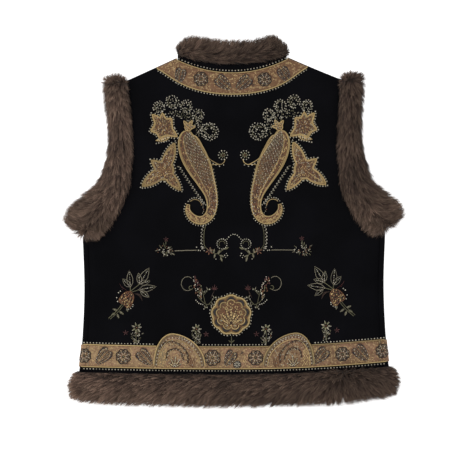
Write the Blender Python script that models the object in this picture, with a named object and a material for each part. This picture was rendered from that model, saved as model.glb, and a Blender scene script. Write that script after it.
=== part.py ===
"""Folk-dress vest in velvet with fur edges, laid flat on its front with its back up.

+X is the wearer's right, +Y runs from the hem to the collar, and +Z points up from the surface.
Every piece of cloth is an outer surface, worked out on a grid, that Solidify thickens inwards.
Every fur edge is a section swept along the cut edge that it covers.
All sizes are in metres. Shapes are worked out for an even lay, and lay() then shifts the points a
little, because the garment doesn't lie quite straight.
"""

import math

import bmesh
import bpy
from mathutils import Vector
from mathutils.bvhtree import BVHTree

# Cloth and how the layers lie on each other
CLOTH = 0.0026  # velvet with its interlining
INNER_GAP = 0.0024  # air between the back and the fronts
FOLD_RADIUS = (2 * CLOTH + INNER_GAP) / 2
EDGE_LIFT = 0.008  # how far the pressed fur holds the fronts' edges off the surface
ARMHOLE_SLOPE = 0.100  # how far from an armhole the cloth has come down
HEM_SLOPE = 0.085
NECK_SLOPE = 0.090
SEAM = 0.0003  # gap between two pieces sewn together
ON_CLOTH = 0.0005  # gap under a piece that lies on another
UNDER_FUR = 0.0006  # gap under fur that lies on cloth

# The cut
HEM_CENTRE_Y = -0.247  # cut edge at the middle of the back, under the fur
HEM_RISE = 0.004  # by which the hem is higher at the sides
SIDE_SEAM_IN = 0.009  # from the side fold in to the side seam, on the back
FRONT_GAP = 0.0010  # between the two fronts
NECK_HALF = 0.088
NECK_POINT_Y = 0.263
NECK_BACK_Y = 0.243
NECK_FRONT_Y = 0.190
TIP_HALF = 0.179
TIP_Y = 0.222
UNDERARM_Y = -0.013  # where the side fold starts

# Half the width of the body, from the hem up to the underarm
SIDE = [
    {"y": -0.251, "half": 0.2495},
    {"y": -0.190, "half": 0.2435},
    {"y": -0.106, "half": 0.2400},
    {"y": -0.022, "half": 0.2420},
]

# Cut edge of the armhole, and how far the fur reaches inside and outside it
ARMHOLE = [
    {"y": -0.022, "half": 0.242, "inside": 0.014, "outside": 0.031},
    {"y": -0.008, "half": 0.236, "inside": 0.021, "outside": 0.036},
    {"y": 0.010, "half": 0.222, "inside": 0.024, "outside": 0.040},
    {"y": 0.028, "half": 0.208, "inside": 0.024, "outside": 0.038},
    {"y": 0.046, "half": 0.195, "inside": 0.022, "outside": 0.035},
    {"y": 0.068, "half": 0.183, "inside": 0.018, "outside": 0.033},
    {"y": 0.090, "half": 0.177, "inside": 0.014, "outside": 0.032},
    {"y": 0.118, "half": 0.174, "inside": 0.012, "outside": 0.031},
    {"y": 0.158, "half": 0.175, "inside": 0.012, "outside": 0.031},
    {"y": 0.198, "half": 0.177, "inside": 0.012, "outside": 0.032},
    {"y": 0.222, "half": 0.179, "inside": 0.012, "outside": 0.031},
]

# How far the collar fur reaches from the top edge of the back stand
COLLAR = [
    {"x": 0.000, "inside": 0.013, "outside": 0.024},
    {"x": 0.050, "inside": 0.015, "outside": 0.023},
    {"x": 0.072, "inside": 0.017, "outside": 0.014},
    {"x": 0.086, "inside": 0.018, "outside": 0.007},
]

# Fur
STAND_HEIGHT = 0.024
PILE = 0.020  # height of the upper fur above the cloth
COLLAR_PILE = 0.018
HEM_FUR_INSIDE = 0.010
HEM_FUR_OUTSIDE = 0.045
HEM_FUR_PAST_SIDE = 0.018
SHOULDER_FUR_PAST = 0.017
UNDERARM_FUR_PAST = 0.010
COLLAR_FUR_PAST = 0.002
FLOOR_FUR_TOP = EDGE_LIFT + CLOTH + INNER_GAP * 0.5  # where the lower and the upper fur meet

# Bands and applique
BAND = 0.0010  # thickness
HEM_BAND_ROWS = (0.015, 0.027, 0.039, 0.051)  # above the cut edge of the hem
NECK_BAND_WIDTH = 0.034
NECK_BAND_GAP = 0.0008  # under the neck band, whose rows run across the cloth's
NECK_BAND_IN = 0.0012  # from the neck seam
APPLIQUE = 0.0012
PUFF = 0.0010  # by which the middle of an applique is thicker

# How the garment lies
RIGHT_LIFT = 0.008  # the wearer's right side lies this much nearer the collar
NECK_SHIFT = 0.003  # and the neck lies this much to the wearer's left
BOX_CENTRE = (0.0000, 0.0025)  # middle of all of it, before it is moved to the origin

# Grids
HALF_COLUMNS_IN = 6  # from the middle to the neck point
HALF_COLUMNS_OUT = 7  # from the neck point to the side
BODY_ROWS = 20  # above the hem band
UNDERARM_ROW = 9  # of those rows, the one that ends the side fold
WRAP_STEPS = 4
CURL_STEPS = 3
CURL_RADIUS = FOLD_RADIUS - 0.0008

VELVET = ("velvet", (0.012, 0.012, 0.015), 0.85)
TAN = ("tan_band", (0.36, 0.25, 0.15), 0.75)
GOLD = ("applique", (0.42, 0.29, 0.16), 0.70)
FUR = ("fur", (0.16, 0.115, 0.09), 0.90)


def smooth(t):
    t = max(0.0, min(1.0, t))
    return t * t * (3 - 2 * t)


def mix(a, b, t):
    return a + (b - a) * t


def along(table, key, column, at):
    """A smooth curve through a table's rows, level past its ends."""
    keys = [row[key] for row in table]
    values = [row[column] for row in table]
    if at <= keys[0]:
        return values[0]
    if at >= keys[-1]:
        return values[-1]
    k = max(i for i in range(len(keys) - 1) if keys[i] <= at)

    def slope(i):
        low, high = max(i - 1, 0), min(i + 1, len(keys) - 1)
        return (values[high] - values[low]) / (keys[high] - keys[low])

    span = keys[k + 1] - keys[k]
    t = (at - keys[k]) / span
    rise = values[k + 1] - values[k]
    start, end = slope(k) * span, slope(k + 1) * span
    curve = (start + end - 2 * rise) * t**3 + (3 * rise - 2 * start - end) * t**2
    return values[k] + start * t + curve


def lay(x, y):
    """Where a point of the evenly laid garment really lies, from the middle of the whole."""
    right = max(x, 0.0) / SIDE[-1]["half"]
    moved_x = x - NECK_SHIFT * smooth((y - 0.12) / (NECK_POINT_Y - 0.12))
    return moved_x - BOX_CENTRE[0], y + RIGHT_LIFT * right**2 - BOX_CENTRE[1]


# Outlines


def hem_y(x):
    return HEM_CENTRE_Y + HEM_RISE * (x / SIDE[0]["half"]) ** 2


def side_half(y):
    return along(SIDE, "y", "half", y)


def armhole_half(y):
    if y < ARMHOLE[0]["y"]:
        return 1.0
    return along(ARMHOLE, "y", "half", y)


def back_neck_y(x):
    return mix(NECK_BACK_Y, NECK_POINT_Y, (x / NECK_HALF) ** 2)


def front_neck_y(x):
    return mix(NECK_FRONT_Y, NECK_POINT_Y, (x / NECK_HALF) ** 2)


def shoulder_y(x):
    return mix(NECK_POINT_Y, TIP_Y, (x - NECK_HALF) / (TIP_HALF - NECK_HALF))


def row_edge_y(i):
    """Height of a row above the band, where it meets the side."""
    start = hem_y(SIDE[0]["half"]) + HEM_BAND_ROWS[-1]
    if i <= UNDERARM_ROW:
        return mix(start, UNDERARM_Y, i / UNDERARM_ROW)
    return mix(UNDERARM_Y, TIP_Y, (i - UNDERARM_ROW) / (BODY_ROWS - UNDERARM_ROW))


def armhole_path(side):
    """The armhole's cut edge from the shoulder tip down to the underarm, with its outward direction.

    Its places are those of the body's rows, so that cloth and fur meet along the same line."""
    ys = [row_edge_y(i) for i in range(BODY_ROWS, UNDERARM_ROW - 1, -1)]
    ys += [mix(UNDERARM_Y, ARMHOLE[0]["y"], share) for share in (0.5, 1.0)]
    steps = len(ys) - 1
    points = [Vector((armhole_half(y), y)) for y in ys]
    path = []
    for i, point in enumerate(points):
        run = points[min(i + 1, steps)] - points[max(i - 1, 0)]
        run.normalize()
        path.append((Vector((side * point.x, point.y)), Vector((side * -run.y, run.x))))
    return path


ARMHOLE_POINTS = [place for place, _ in armhole_path(1)]


# Heights


def lift(x, y):
    """How far the fronts' outer face is off the surface: 0 in the middle, most along the fur."""
    away = min((Vector((abs(x), y)) - p).length for p in ARMHOLE_POINTS)
    clear = smooth(away / ARMHOLE_SLOPE)
    clear *= smooth((y - hem_y(x)) / HEM_SLOPE)
    below_neck = front_neck_y(min(abs(x), NECK_HALF)) - y
    beside_neck = max(abs(x) - NECK_HALF, 0.0)
    clear *= smooth(math.hypot(max(below_neck, 0.0), beside_neck) / NECK_SLOPE)
    return EDGE_LIFT * (1 - clear)


def back_top(x, y):
    return lift(x, y) + 2 * CLOTH + INNER_GAP


# Meshes


def material(finish):
    name, colour, roughness = finish
    made = bpy.data.materials.get(name)
    if made is None:
        made = bpy.data.materials.new(name)
        made.use_nodes = True
        shader = made.node_tree.nodes["Principled BSDF"]
        shader.inputs["Base Color"].default_value = (*colour, 1.0)
        shader.inputs["Roughness"].default_value = roughness
    return made


def add_object(name, points, faces, finish):
    """One object, with its points moved to where the garment really lies."""
    mesh = bpy.data.meshes.new(name)
    mesh.from_pydata([(*lay(p[0], p[1]), p[2]) for p in points], [], faces)
    welded = bmesh.new()
    welded.from_mesh(mesh)
    bmesh.ops.remove_doubles(welded, verts=welded.verts, dist=1e-6)
    bmesh.ops.recalc_face_normals(welded, faces=welded.faces)
    welded.to_mesh(mesh)
    welded.free()
    mesh.materials.append(material(finish))
    made = bpy.data.objects.new(name, mesh)
    bpy.context.scene.collection.objects.link(made)
    return made


def quads(rows, first=0):
    """Faces of a grid of points, row after row, with the first point's number."""
    wide = len(rows[0])
    corners = [first + i * wide + j for i in range(len(rows) - 1) for j in range(wide - 1)]
    return [(c, c + 1, c + wide + 1, c + wide) for c in corners]


def add_cloth(name, grids, thickness, finish, outward):
    """Cloth whose outer face is these grids, joined where they meet, thickened inwards."""
    points, faces = [], []
    for rows in grids:
        faces += quads(rows, len(points))
        points += [p for row in rows for p in row]
    made = add_object(name, points, faces, finish)
    turned = bmesh.new()
    turned.from_mesh(made.data)
    if sum(f.normal.z * f.calc_area() for f in turned.faces) * outward < 0:
        bmesh.ops.reverse_faces(turned, faces=turned.faces)
    turned.to_mesh(made.data)
    turned.free()
    solidify = made.modifiers.new("thickness", "SOLIDIFY")
    solidify.thickness = thickness
    solidify.offset = -1.0
    solidify.use_even_offset = True
    made.data.shade_smooth()
    return made


def tree_of(grids):
    """What finds the height of a grid's surface over a point."""
    points, faces = [], []
    for rows in grids:
        faces += quads(rows, len(points))
        points += [p for row in rows for p in row]
    return BVHTree.FromPolygons(points, faces)


def height_on(tree, x, y, outward, otherwise):
    """The height of that surface at x, y, seen from outside."""
    start = Vector((x, y, outward * 1.0))
    hit = tree.ray_cast(start, Vector((0, 0, -outward)))[0]
    return otherwise if hit is None else hit.z


# The body's three pieces


def columns():
    """Shares of the half width, from the middle to the side, with one at the neck point."""
    neck = NECK_HALF / TIP_HALF
    inner = [neck * i / HALF_COLUMNS_IN for i in range(HALF_COLUMNS_IN)]
    outer = [mix(neck, 1.0, i / HALF_COLUMNS_OUT) for i in range(HALF_COLUMNS_OUT + 1)]
    return inner + outer


def body_rows(share, edge_of, neck_of, first_x=0.0):
    """Points x, y up one column of the body, from the hem to the neck or the shoulder."""
    top_x = share * TIP_HALF
    top_y = neck_of(top_x) if top_x <= NECK_HALF + 1e-9 else shoulder_y(top_x)
    bottom_y = hem_y(share * SIDE[0]["half"])
    band_top = HEM_BAND_ROWS[-1]
    edge_bottom = hem_y(SIDE[0]["half"])
    column = []
    for above in (0.0, *HEM_BAND_ROWS):
        x = share * edge_of(edge_bottom + above)
        column.append((max(x, first_x), bottom_y + above))
    for i in range(1, BODY_ROWS + 1):
        edge_y = row_edge_y(i)
        up = (edge_y - edge_bottom - band_top) / (TIP_Y - edge_bottom - band_top)
        x = share * edge_of(edge_y)
        column.append((max(x, first_x), mix(bottom_y + band_top, top_y, up)))
    return column


def shoulder_curl(top_row, level_of, bend):
    """Rows that carry a shoulder's edge round to the shoulder seam. bend is -1 down and 1 up."""
    run = Vector((TIP_HALF - NECK_HALF, TIP_Y - NECK_POINT_Y)).normalized()
    turns = [math.pi / 2 * step / CURL_STEPS for step in range(1, CURL_STEPS + 1)]
    curl = [(math.sin(a) * CURL_RADIUS, (1 - math.cos(a)) * CURL_RADIUS) for a in turns]
    curl.append((CURL_RADIUS, FOLD_RADIUS - SEAM / 2))
    rows = [[(x, y, level_of(x, y)) for x, y in top_row]]
    for out_by, down_by in curl:
        row = []
        for x, y in top_row:
            lean = -run.y * (TIP_HALF - abs(x)) / (TIP_HALF - NECK_HALF)
            out = Vector((math.copysign(lean, x), run.x)).normalized() * out_by
            row.append((x + out.x, y + out.y, level_of(x, y) + bend * down_by))
        rows.append(row)
    return rows


def back_grids():
    def edge(y):
        return min(side_half(y) - SIDE_SEAM_IN, armhole_half(y)) - SEAM / 2

    half = [body_rows(share, edge, back_neck_y) for share in columns()]
    left = [[(-x, y) for x, y in column] for column in reversed(half[1:])]
    across = left + half
    rows = [[(*column[i], back_top(*column[i])) for column in across] for i in range(len(half[0]))]
    top = [column[-1] for column in across]
    curls = [
        shoulder_curl(top[: HALF_COLUMNS_OUT + 1], back_top, -1),
        shoulder_curl(top[-HALF_COLUMNS_OUT - 1 :], back_top, -1),
    ]
    return [rows, *curls], rows


def front_grids(side):
    """One front: its flat part, the wrap round the side fold, and the curl at the shoulder."""

    def edge(y):
        return min(side_half(y) - FOLD_RADIUS, armhole_half(y) - SEAM / 2)

    shares = columns()
    half = [body_rows(s, edge, front_neck_y, FRONT_GAP / 2) for s in shares]
    rows = [[(side * c[i][0], c[i][1], lift(*c[i])) for c in half] for i in range(len(half[0]))]
    last = len(HEM_BAND_ROWS) + UNDERARM_ROW
    wrap = []
    for i in range(last + 1):
        edge_x, y = half[-1][i]
        rise = (i / last) ** 2
        level = lift(edge_x, y)
        turns = [math.pi * step / (2 * WRAP_STEPS) for step in range(1, 2 * WRAP_STEPS + 1)]
        past = [(FOLD_RADIUS * math.sin(a), FOLD_RADIUS * (1 - math.cos(a))) for a in turns]
        past.append((FOLD_RADIUS - SIDE_SEAM_IN + SEAM / 2, 2 * FOLD_RADIUS))
        row = [(side * edge_x, y, level)]
        for out_by, up_by in past:
            cut_y = underarm_y(edge_x + out_by)
            moved_y = y + (cut_y - UNDERARM_Y) * rise
            slant = side_half(moved_y) - side_half(y)
            row.append((side * (edge_x + out_by + slant), moved_y, level + up_by))
        wrap.append(row)
    top = [column[-1] for column in half[-HALF_COLUMNS_OUT - 1 :]]
    curl = shoulder_curl([(side * x, y) for x, y in top], lift, 1)
    return [rows, wrap, curl], rows, wrap


def underarm_y(x):
    """Height at which the armhole's cut edge has half width x, near the underarm."""
    points = ARMHOLE_POINTS[::-1]
    for low, high in zip(points, points[1:]):
        if high.x <= x:
            return mix(low.y, high.y, max(0.0, (low.x - x) / (low.x - high.x))) - SEAM
    return points[-1].y


# Bands


def moved_out(rows, away):
    """A grid's points moved along its normals, to lie on it."""
    tall, wide = len(rows), len(rows[0])
    made = []
    for i in range(tall):
        row = []
        for j in range(wide):
            across = Vector(rows[i][min(j + 1, wide - 1)]) - Vector(rows[i][max(j - 1, 0)])
            up = Vector(rows[min(i + 1, tall - 1)][j]) - Vector(rows[max(i - 1, 0)][j])
            row.append(tuple(Vector(rows[i][j]) + across.cross(up).normalized() * away))
        made.append(row)
    return made


def hem_band_rows(rows):
    return rows[1 : 1 + len(HEM_BAND_ROWS)]


def neck_band(name, neck_of, sides, level_of, outward, low_x=0.0):
    """A band along the neck seam, cut off along the shoulders, lying on the cloth."""
    steps = 12
    slope = Vector((TIP_HALF - NECK_HALF, TIP_Y - NECK_POINT_Y)).normalized()
    half = []
    for i in range(steps + 1):
        x = mix(low_x, NECK_HALF - 0.001, i / steps)
        ahead = Vector((0.002, neck_of(x + 0.001) - neck_of(x - 0.001))).normalized()
        down = Vector((ahead.y, -ahead.x))
        if i == 0:
            down = Vector((0, -1))
        # Near the shoulder the band's end swings round, to lie along the shoulder line.
        down = down.lerp(slope, smooth(i / steps) ** 3).normalized()
        start = Vector((x, neck_of(x)))
        widths = [mix(NECK_BAND_IN, NECK_BAND_IN + NECK_BAND_WIDTH, k / 5) for k in range(6)]
        half.append([start + down * w for w in widths])
    across = half
    if len(sides) == 2:
        across = [[Vector((-p.x, p.y)) for p in column] for column in reversed(half[1:])] + half
    elif sides[0] < 0:
        across = [[Vector((-p.x, p.y)) for p in column] for column in reversed(half)]
    away = outward * (NECK_BAND_GAP + BAND)
    rows = [[(c[k].x, c[k].y, level_of(c[k].x, c[k].y) + away) for c in across] for k in range(6)]
    add_cloth(name, [rows], BAND, TAN, outward)


# Fur

# Sections of the fur, as shares (across from its inner edge to its outer one, up from its floor)
UPPER_FUR = [
    (0.92, 0.00),
    (1.00, 0.30),
    (0.97, 0.55),
    (0.84, 0.80),
    (0.60, 0.96),
    (0.36, 1.00),
    (0.15, 0.86),
    (0.03, 0.62),
]
LOWER_FUR = [(0.0, 0.0), (0.90, 0.0), (1.0, 0.40), (0.97, 0.75), (0.88, 1.0)]


def fur_section(inside, outside, pile, cloth_at, upper, shrink):
    """Points (distance out from the cut edge, height) round a section of a fur edge.

    cloth_at gives the height of the cloth's outer face at a distance out. shrink is 1 along the
    edge and falls towards a rounded end."""
    middle = max((outside - inside) / 2, 0.003)
    inner = mix(middle, -inside, shrink)
    outer = mix(middle, outside, shrink)
    notch = max(0.0, inner + 0.0004)
    if upper:
        floor = FLOOR_FUR_TOP + SEAM
        crest = cloth_at(0.0) + pile
        lying = [(d, cloth_at(d) + UNDER_FUR) for d in (inner, (inner + notch) / 2, notch)]
        rise = mix(0.45, 1.0, shrink)
        over = [(mix(inner, outer, share), mix(floor, crest, up * rise)) for share, up in UPPER_FUR]
        return [*lying, (notch + SEAM, floor), *over]
    rise = mix(0.5, 1.0, shrink)
    top = FLOOR_FUR_TOP * rise
    lying = [(d, (cloth_at(d) - UNDER_FUR) * rise) for d in (notch, (inner + notch) / 2, inner)]
    under = [(mix(inner, outer, share), top * up) for share, up in LOWER_FUR]
    return [*under, (notch + SEAM, top), *lying]


def add_fur(name, stations, pile, upper, level):
    """A fur edge through stations: a place on the cut edge, the direction out, reaches and shrink."""
    rings = []
    for station in stations:
        place, out = station["place"], station["out"]

        def cloth_at(distance):
            at = place + out * distance
            return level(at.x, at.y)

        section = fur_section(station["inside"], station["outside"], pile, cloth_at, upper, station["shrink"])
        rings.append([(place.x + out.x * d, place.y + out.y * d, z) for d, z in section])
    wide = len(rings[0])
    points = [p for ring in rings for p in ring]
    faces = []
    for i in range(len(rings) - 1):
        for j in range(wide):
            k = (j + 1) % wide
            faces.append((i * wide + j, i * wide + k, (i + 1) * wide + k, (i + 1) * wide + j))
    faces.append(tuple(range(wide)))
    faces.append(tuple(range(len(points) - wide, len(points))))
    made = add_object(name, points, faces, FUR)
    made.data.shade_smooth()
    return made


def rounded_end(station, run, reach, steps):
    """Stations past one end, shrinking along a round outline."""
    ends = []
    for i in range(1, steps + 1):
        angle = math.pi / 2 * i / (steps + 0.35)
        ends.append({
            **station,
            "place": station["place"] + run * reach * math.sin(angle),
            "shrink": math.cos(angle),
        })
    return ends


def armhole_stations(side):
    stations = []
    for place, out in armhole_path(side):
        stations.append({
            "place": place,
            "out": out,
            "inside": along(ARMHOLE, "y", "inside", place.y),
            "outside": along(ARMHOLE, "y", "outside", place.y),
            "shrink": 1.0,
        })
    up = (stations[0]["place"] - stations[1]["place"]).normalized()
    down = (stations[-1]["place"] - stations[-2]["place"]).normalized()
    first = rounded_end(stations[0], up, SHOULDER_FUR_PAST, 4)
    last = rounded_end(stations[-1], down, UNDERARM_FUR_PAST, 4)
    return [*reversed(first), *stations, *last]


def with_round_ends(stations, past, steps):
    """The stations, with more past each end that isn't at the middle of the garment."""
    ends = []
    for end, inner in ((stations[0], stations[1]), (stations[-1], stations[-2])):
        run = (end["place"] - inner["place"]).normalized()
        ends.append(rounded_end(end, run, past, steps) if abs(end["place"].x) > 0.05 else [])
    return [*reversed(ends[0]), *stations, *ends[1]]


def hem_stations(start_x, end_x, steps):
    stations = []
    for i in range(steps + 1):
        x = mix(start_x, end_x, i / steps)
        stations.append({
            "place": Vector((x, hem_y(x) - SEAM)),
            "out": Vector((0, -1)),
            "inside": HEM_FUR_INSIDE,
            "outside": HEM_FUR_OUTSIDE * mix(1.0, 0.93, abs(x) / SIDE[0]["half"]),
            "shrink": 1.0,
        })
    return with_round_ends(stations, HEM_FUR_PAST_SIDE, 4)


def collar_stations(xs, neck_of):
    stations = []
    for x in xs:
        stations.append({
            "place": Vector((x, neck_of(x) + STAND_HEIGHT + 2 * SEAM)),
            "out": Vector((0, 1)),
            "inside": along(COLLAR, "x", "inside", abs(x)),
            "outside": along(COLLAR, "x", "outside", abs(x)),
            "shrink": 1.0,
        })
    return with_round_ends(stations, COLLAR_FUR_PAST, 3)


# The collar stand


def stand_grid(neck_of, level_of, xs):
    rows = []
    for up in (2 * SEAM, STAND_HEIGHT / 2, STAND_HEIGHT):
        rows.append([(x, neck_of(x) + up, level_of(x, neck_of(x) + up)) for x in xs])
    return rows


# Applique


def add_plate(name, sections, tree, base, finish, closed=False):
    """A puffed flat piece lying on the back, through sections of points x, y.

    Each section runs across the piece, or, if closed, from the middle out to the rim."""
    wide = len(sections[0])
    low, high = [], []
    for section in sections:
        for j, (x, y) in enumerate(section):
            share = j / (wide - 1)
            crown = 1 - share**2 if closed else 1 - (2 * share - 1) ** 2
            z = height_on(tree, x, y, 1, back_top(x, y)) + base
            low.append((x, y, z))
            high.append((x, y, z + APPLIQUE + PUFF * crown))
    count = len(sections)
    faces = []
    shift = len(low)
    for i in range(count if closed else count - 1):
        k = (i + 1) % count
        for j in range(wide - 1):
            cell = (i * wide + j, i * wide + j + 1, k * wide + j + 1, k * wide + j)
            faces.append(cell)
            faces.append(tuple(v + shift for v in reversed(cell)))
        rim = (i * wide + wide - 1, k * wide + wide - 1)
        faces.append((*rim, rim[1] + shift, rim[0] + shift))
        if not closed:
            start = (i * wide, k * wide)
            faces.append((start[1], start[0], start[0] + shift, start[1] + shift))
    if not closed:
        for i in (0, count - 1):
            for j in range(wide - 1):
                end = (i * wide + j, i * wide + j + 1)
                faces.append((*end, end[1] + shift, end[0] + shift))
    made = add_object(name, low + high, faces, finish)
    made.data.shade_smooth()
    return made


def paisley_spine(side):
    """Centre line of a paisley with its half widths, smoothed between the table's rows."""
    table = [{**row, "at": i} for i, row in enumerate(PAISLEY)]
    steps = 2 * (len(PAISLEY) - 1)
    line = []
    for i in range(steps + 1):
        x, y, half = (along(table, "at", column, i / 2) for column in ("x", "y", "half"))
        line.append((Vector((side * x, y)), half))
    return line


def spine_sections(line, across=4):
    sections = []
    for i, (place, half) in enumerate(line):
        ahead = line[min(i + 1, len(line) - 1)][0] - line[max(i - 1, 0)][0]
        aside = Vector((-ahead.y, ahead.x)).normalized()
        shares = [2 * k / across - 1 for k in range(across + 1)]
        sections.append([tuple(place + aside * half * s) for s in shares])
    return sections


def lobed_sections(centre, lobes, waist, side, spokes=36, rings=2):
    """A leaf or a calyx: lobes (direction in degrees, reach, half angle) round a middle."""
    sections = []
    for i in range(spokes):
        angle = 360 * i / spokes
        reach = waist
        for direction, length, half_angle in lobes:
            off = abs((angle - direction + 180) % 360 - 180) / half_angle
            if off < 1:
                reach = max(reach, mix(waist, length, (1 - off) ** 1.3))
        turn = Vector((math.cos(math.radians(angle)), math.sin(math.radians(angle))))
        ring = [centre + turn * reach * (k / rings) for k in range(rings + 1)]
        sections.append([(side * p.x, p.y) for p in ring])
    return sections


# Centre line of a paisley and its half width: head, leaning body, waist and curled tail
PAISLEY = [
    {"x": 0.0715, "y": 0.1480, "half": 0.0035},
    {"x": 0.0735, "y": 0.1420, "half": 0.0120},
    {"x": 0.0725, "y": 0.1310, "half": 0.0172},
    {"x": 0.0680, "y": 0.1170, "half": 0.0195},
    {"x": 0.0610, "y": 0.1020, "half": 0.0200},
    {"x": 0.0525, "y": 0.0850, "half": 0.0180},
    {"x": 0.0440, "y": 0.0660, "half": 0.0135},
    {"x": 0.0372, "y": 0.0485, "half": 0.0098},
    {"x": 0.0350, "y": 0.0320, "half": 0.0078},
    {"x": 0.0380, "y": 0.0170, "half": 0.0068},
    {"x": 0.0470, "y": 0.0075, "half": 0.0062},
    {"x": 0.0590, "y": 0.0065, "half": 0.0057},
    {"x": 0.0690, "y": 0.0130, "half": 0.0047},
    {"x": 0.0740, "y": 0.0225, "half": 0.0032},
    {"x": 0.0730, "y": 0.0310, "half": 0.0018},
]

UPPER_LEAF = {
    "centre": Vector((0.1128, 0.1550)),
    "waist": 0.0150,
    "lobes": [
        (51, 0.027, 24),
        (88, 0.023, 20),
        (135, 0.020, 24),
        (214, 0.027, 26),
        (288, 0.019, 24),
        (344, 0.021, 24),
    ],
}
LOWER_LEAF = {
    "centre": Vector((0.1120, 0.0861)),
    "waist": 0.0155,
    "lobes": [(38, 0.026, 26), (111, 0.048, 32), (230, 0.042, 30), (324, 0.044, 36)],
}
CALYX = {
    "centre": Vector((0.0728, 0.1548)),
    "waist": 0.0055,
    "lobes": [(57, 0.0126, 30), (121, 0.0133, 30), (174, 0.0116, 28)],
}
MEDALLION = {"centre": Vector((-0.0045, -0.1453)), "radius": 0.0298, "scallop": 0.0014, "scallops": 11}
DOME = {"outer": 0.1285, "apex": 0.0985, "inner": 0.0460, "height": 0.0555}


def medallion_sections():
    sections = []
    spokes = 3 * MEDALLION["scallops"]
    for i in range(spokes):
        angle = 2 * math.pi * i / spokes
        wave = abs(math.sin(angle * MEDALLION["scallops"] / 2))
        reach = MEDALLION["radius"] + MEDALLION["scallop"] * wave
        turn = Vector((math.cos(angle), math.sin(angle)))
        ring = [MEDALLION["centre"] + turn * reach * (k / 3) for k in range(4)]
        sections.append([tuple(p) for p in ring])
    return sections


def dome_sections(side):
    """A leaning arch with its straight edge on the lower edge of the hem band."""
    sections = []
    spokes = 18
    for i in range(spokes + 1):
        angle = mix(-1.0, 1.0, i / spokes) * math.pi / 2
        turn = abs(math.sin(angle))
        if angle < 0:
            x = mix(DOME["apex"], DOME["outer"], turn)
        else:
            x = mix(DOME["apex"], DOME["inner"], turn**1.15)
        bottom = hem_y(x) + HEM_BAND_ROWS[0]
        top = bottom + DOME["height"] * max(math.cos(angle), 0.06) ** 0.9
        sections.append([(side * x, mix(bottom, top, k / 4)) for k in range(5)])
    return sections


def build():
    for old in list(bpy.data.objects):
        bpy.data.objects.remove(old)

    back, back_rows = back_grids()
    add_cloth("back_panel", back, CLOTH, VELVET, 1)
    back_tree = tree_of(back)

    for side, name in ((-1, "left"), (1, "right")):
        grids, rows, wrap = front_grids(side)
        add_cloth(f"front_panel_{name}", grids, CLOTH, VELVET, -1)
        halves = zip(hem_band_rows(rows), hem_band_rows(wrap))
        joined = [flat[:-1] + turned for flat, turned in halves]
        outer = moved_out(joined, -side * (ON_CLOTH + BAND))
        add_cloth(f"hem_band_front_{name}", [outer], BAND, TAN, -1)

    outer = moved_out(hem_band_rows(back_rows), ON_CLOTH + BAND)
    add_cloth("hem_band_back", [outer], BAND, TAN, 1)

    shares = [i / HALF_COLUMNS_IN for i in range(HALF_COLUMNS_IN + 1)]
    half_xs = [min(NECK_HALF * share, NECK_HALF - 3 * SEAM) for share in shares]
    neck_xs = [-x for x in reversed(half_xs[1:])] + half_xs
    add_cloth("collar_stand_back", [stand_grid(back_neck_y, back_top, neck_xs)], CLOTH, VELVET, 1)
    add_fur("collar_fur_back", collar_stations(neck_xs, back_neck_y), COLLAR_PILE, True, back_top)
    neck_band("neck_band_back", back_neck_y, (-1, 1), back_top, 1)

    add_fur("hem_fur_back", hem_stations(-0.249, 0.249, 30), PILE - 0.002, True, back_top)

    for side, name in ((-1, "left"), (1, "right")):
        xs = [side * max(x, FRONT_GAP / 2) for x in half_xs]
        stand = stand_grid(front_neck_y, lift, sorted(xs))
        add_cloth(f"collar_stand_front_{name}", [stand], CLOTH, VELVET, -1)
        stations = collar_stations(xs, front_neck_y)
        add_fur(f"collar_fur_front_{name}", stations, PILE, False, lift)
        neck_band(f"neck_band_front_{name}", front_neck_y, (side,), lift, -1, FRONT_GAP)
        stations = hem_stations(side * FRONT_GAP, side * 0.249, 15)
        add_fur(f"hem_fur_front_{name}", stations, PILE, False, lift)
        stations = armhole_stations(side)
        add_fur(f"armhole_fur_back_{name}", stations, PILE, True, back_top)
        add_fur(f"armhole_fur_front_{name}", stations, PILE, False, lift)

        line = paisley_spine(side)
        add_plate(f"paisley_{name}", spine_sections(line), back_tree, ON_CLOTH, GOLD)
        for leaf, part in ((UPPER_LEAF, "upper_leaf"), (LOWER_LEAF, "lower_leaf"), (CALYX, "calyx")):
            sections = lobed_sections(leaf["centre"], leaf["lobes"], leaf["waist"], side)
            add_plate(f"{part}_{name}", sections, back_tree, ON_CLOTH, GOLD, True)
        over_band = 2 * ON_CLOTH + BAND
        add_plate(f"dome_{name}", dome_sections(side), back_tree, over_band, GOLD)

    add_plate("medallion", medallion_sections(), back_tree, ON_CLOTH, GOLD, True)


build()
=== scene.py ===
import math
import random

import bmesh
import bpy
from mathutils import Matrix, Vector
from mathutils.bvhtree import BVHTree


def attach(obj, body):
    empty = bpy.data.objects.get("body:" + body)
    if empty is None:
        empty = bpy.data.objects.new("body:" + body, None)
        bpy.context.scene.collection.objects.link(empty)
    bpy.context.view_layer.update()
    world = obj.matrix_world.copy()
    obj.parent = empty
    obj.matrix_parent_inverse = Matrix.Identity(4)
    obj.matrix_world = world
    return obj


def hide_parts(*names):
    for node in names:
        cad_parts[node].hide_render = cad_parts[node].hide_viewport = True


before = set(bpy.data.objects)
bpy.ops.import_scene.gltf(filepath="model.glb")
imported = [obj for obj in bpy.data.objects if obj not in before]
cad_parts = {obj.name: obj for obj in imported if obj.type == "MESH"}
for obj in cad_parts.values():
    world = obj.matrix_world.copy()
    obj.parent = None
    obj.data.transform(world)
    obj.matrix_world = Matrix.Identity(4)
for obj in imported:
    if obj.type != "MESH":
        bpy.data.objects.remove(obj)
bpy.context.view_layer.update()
luck = random.Random(11)
print("frame loaded:", len(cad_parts), "nodes")


# Node trees, for materials and for Geometry Nodes

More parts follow.
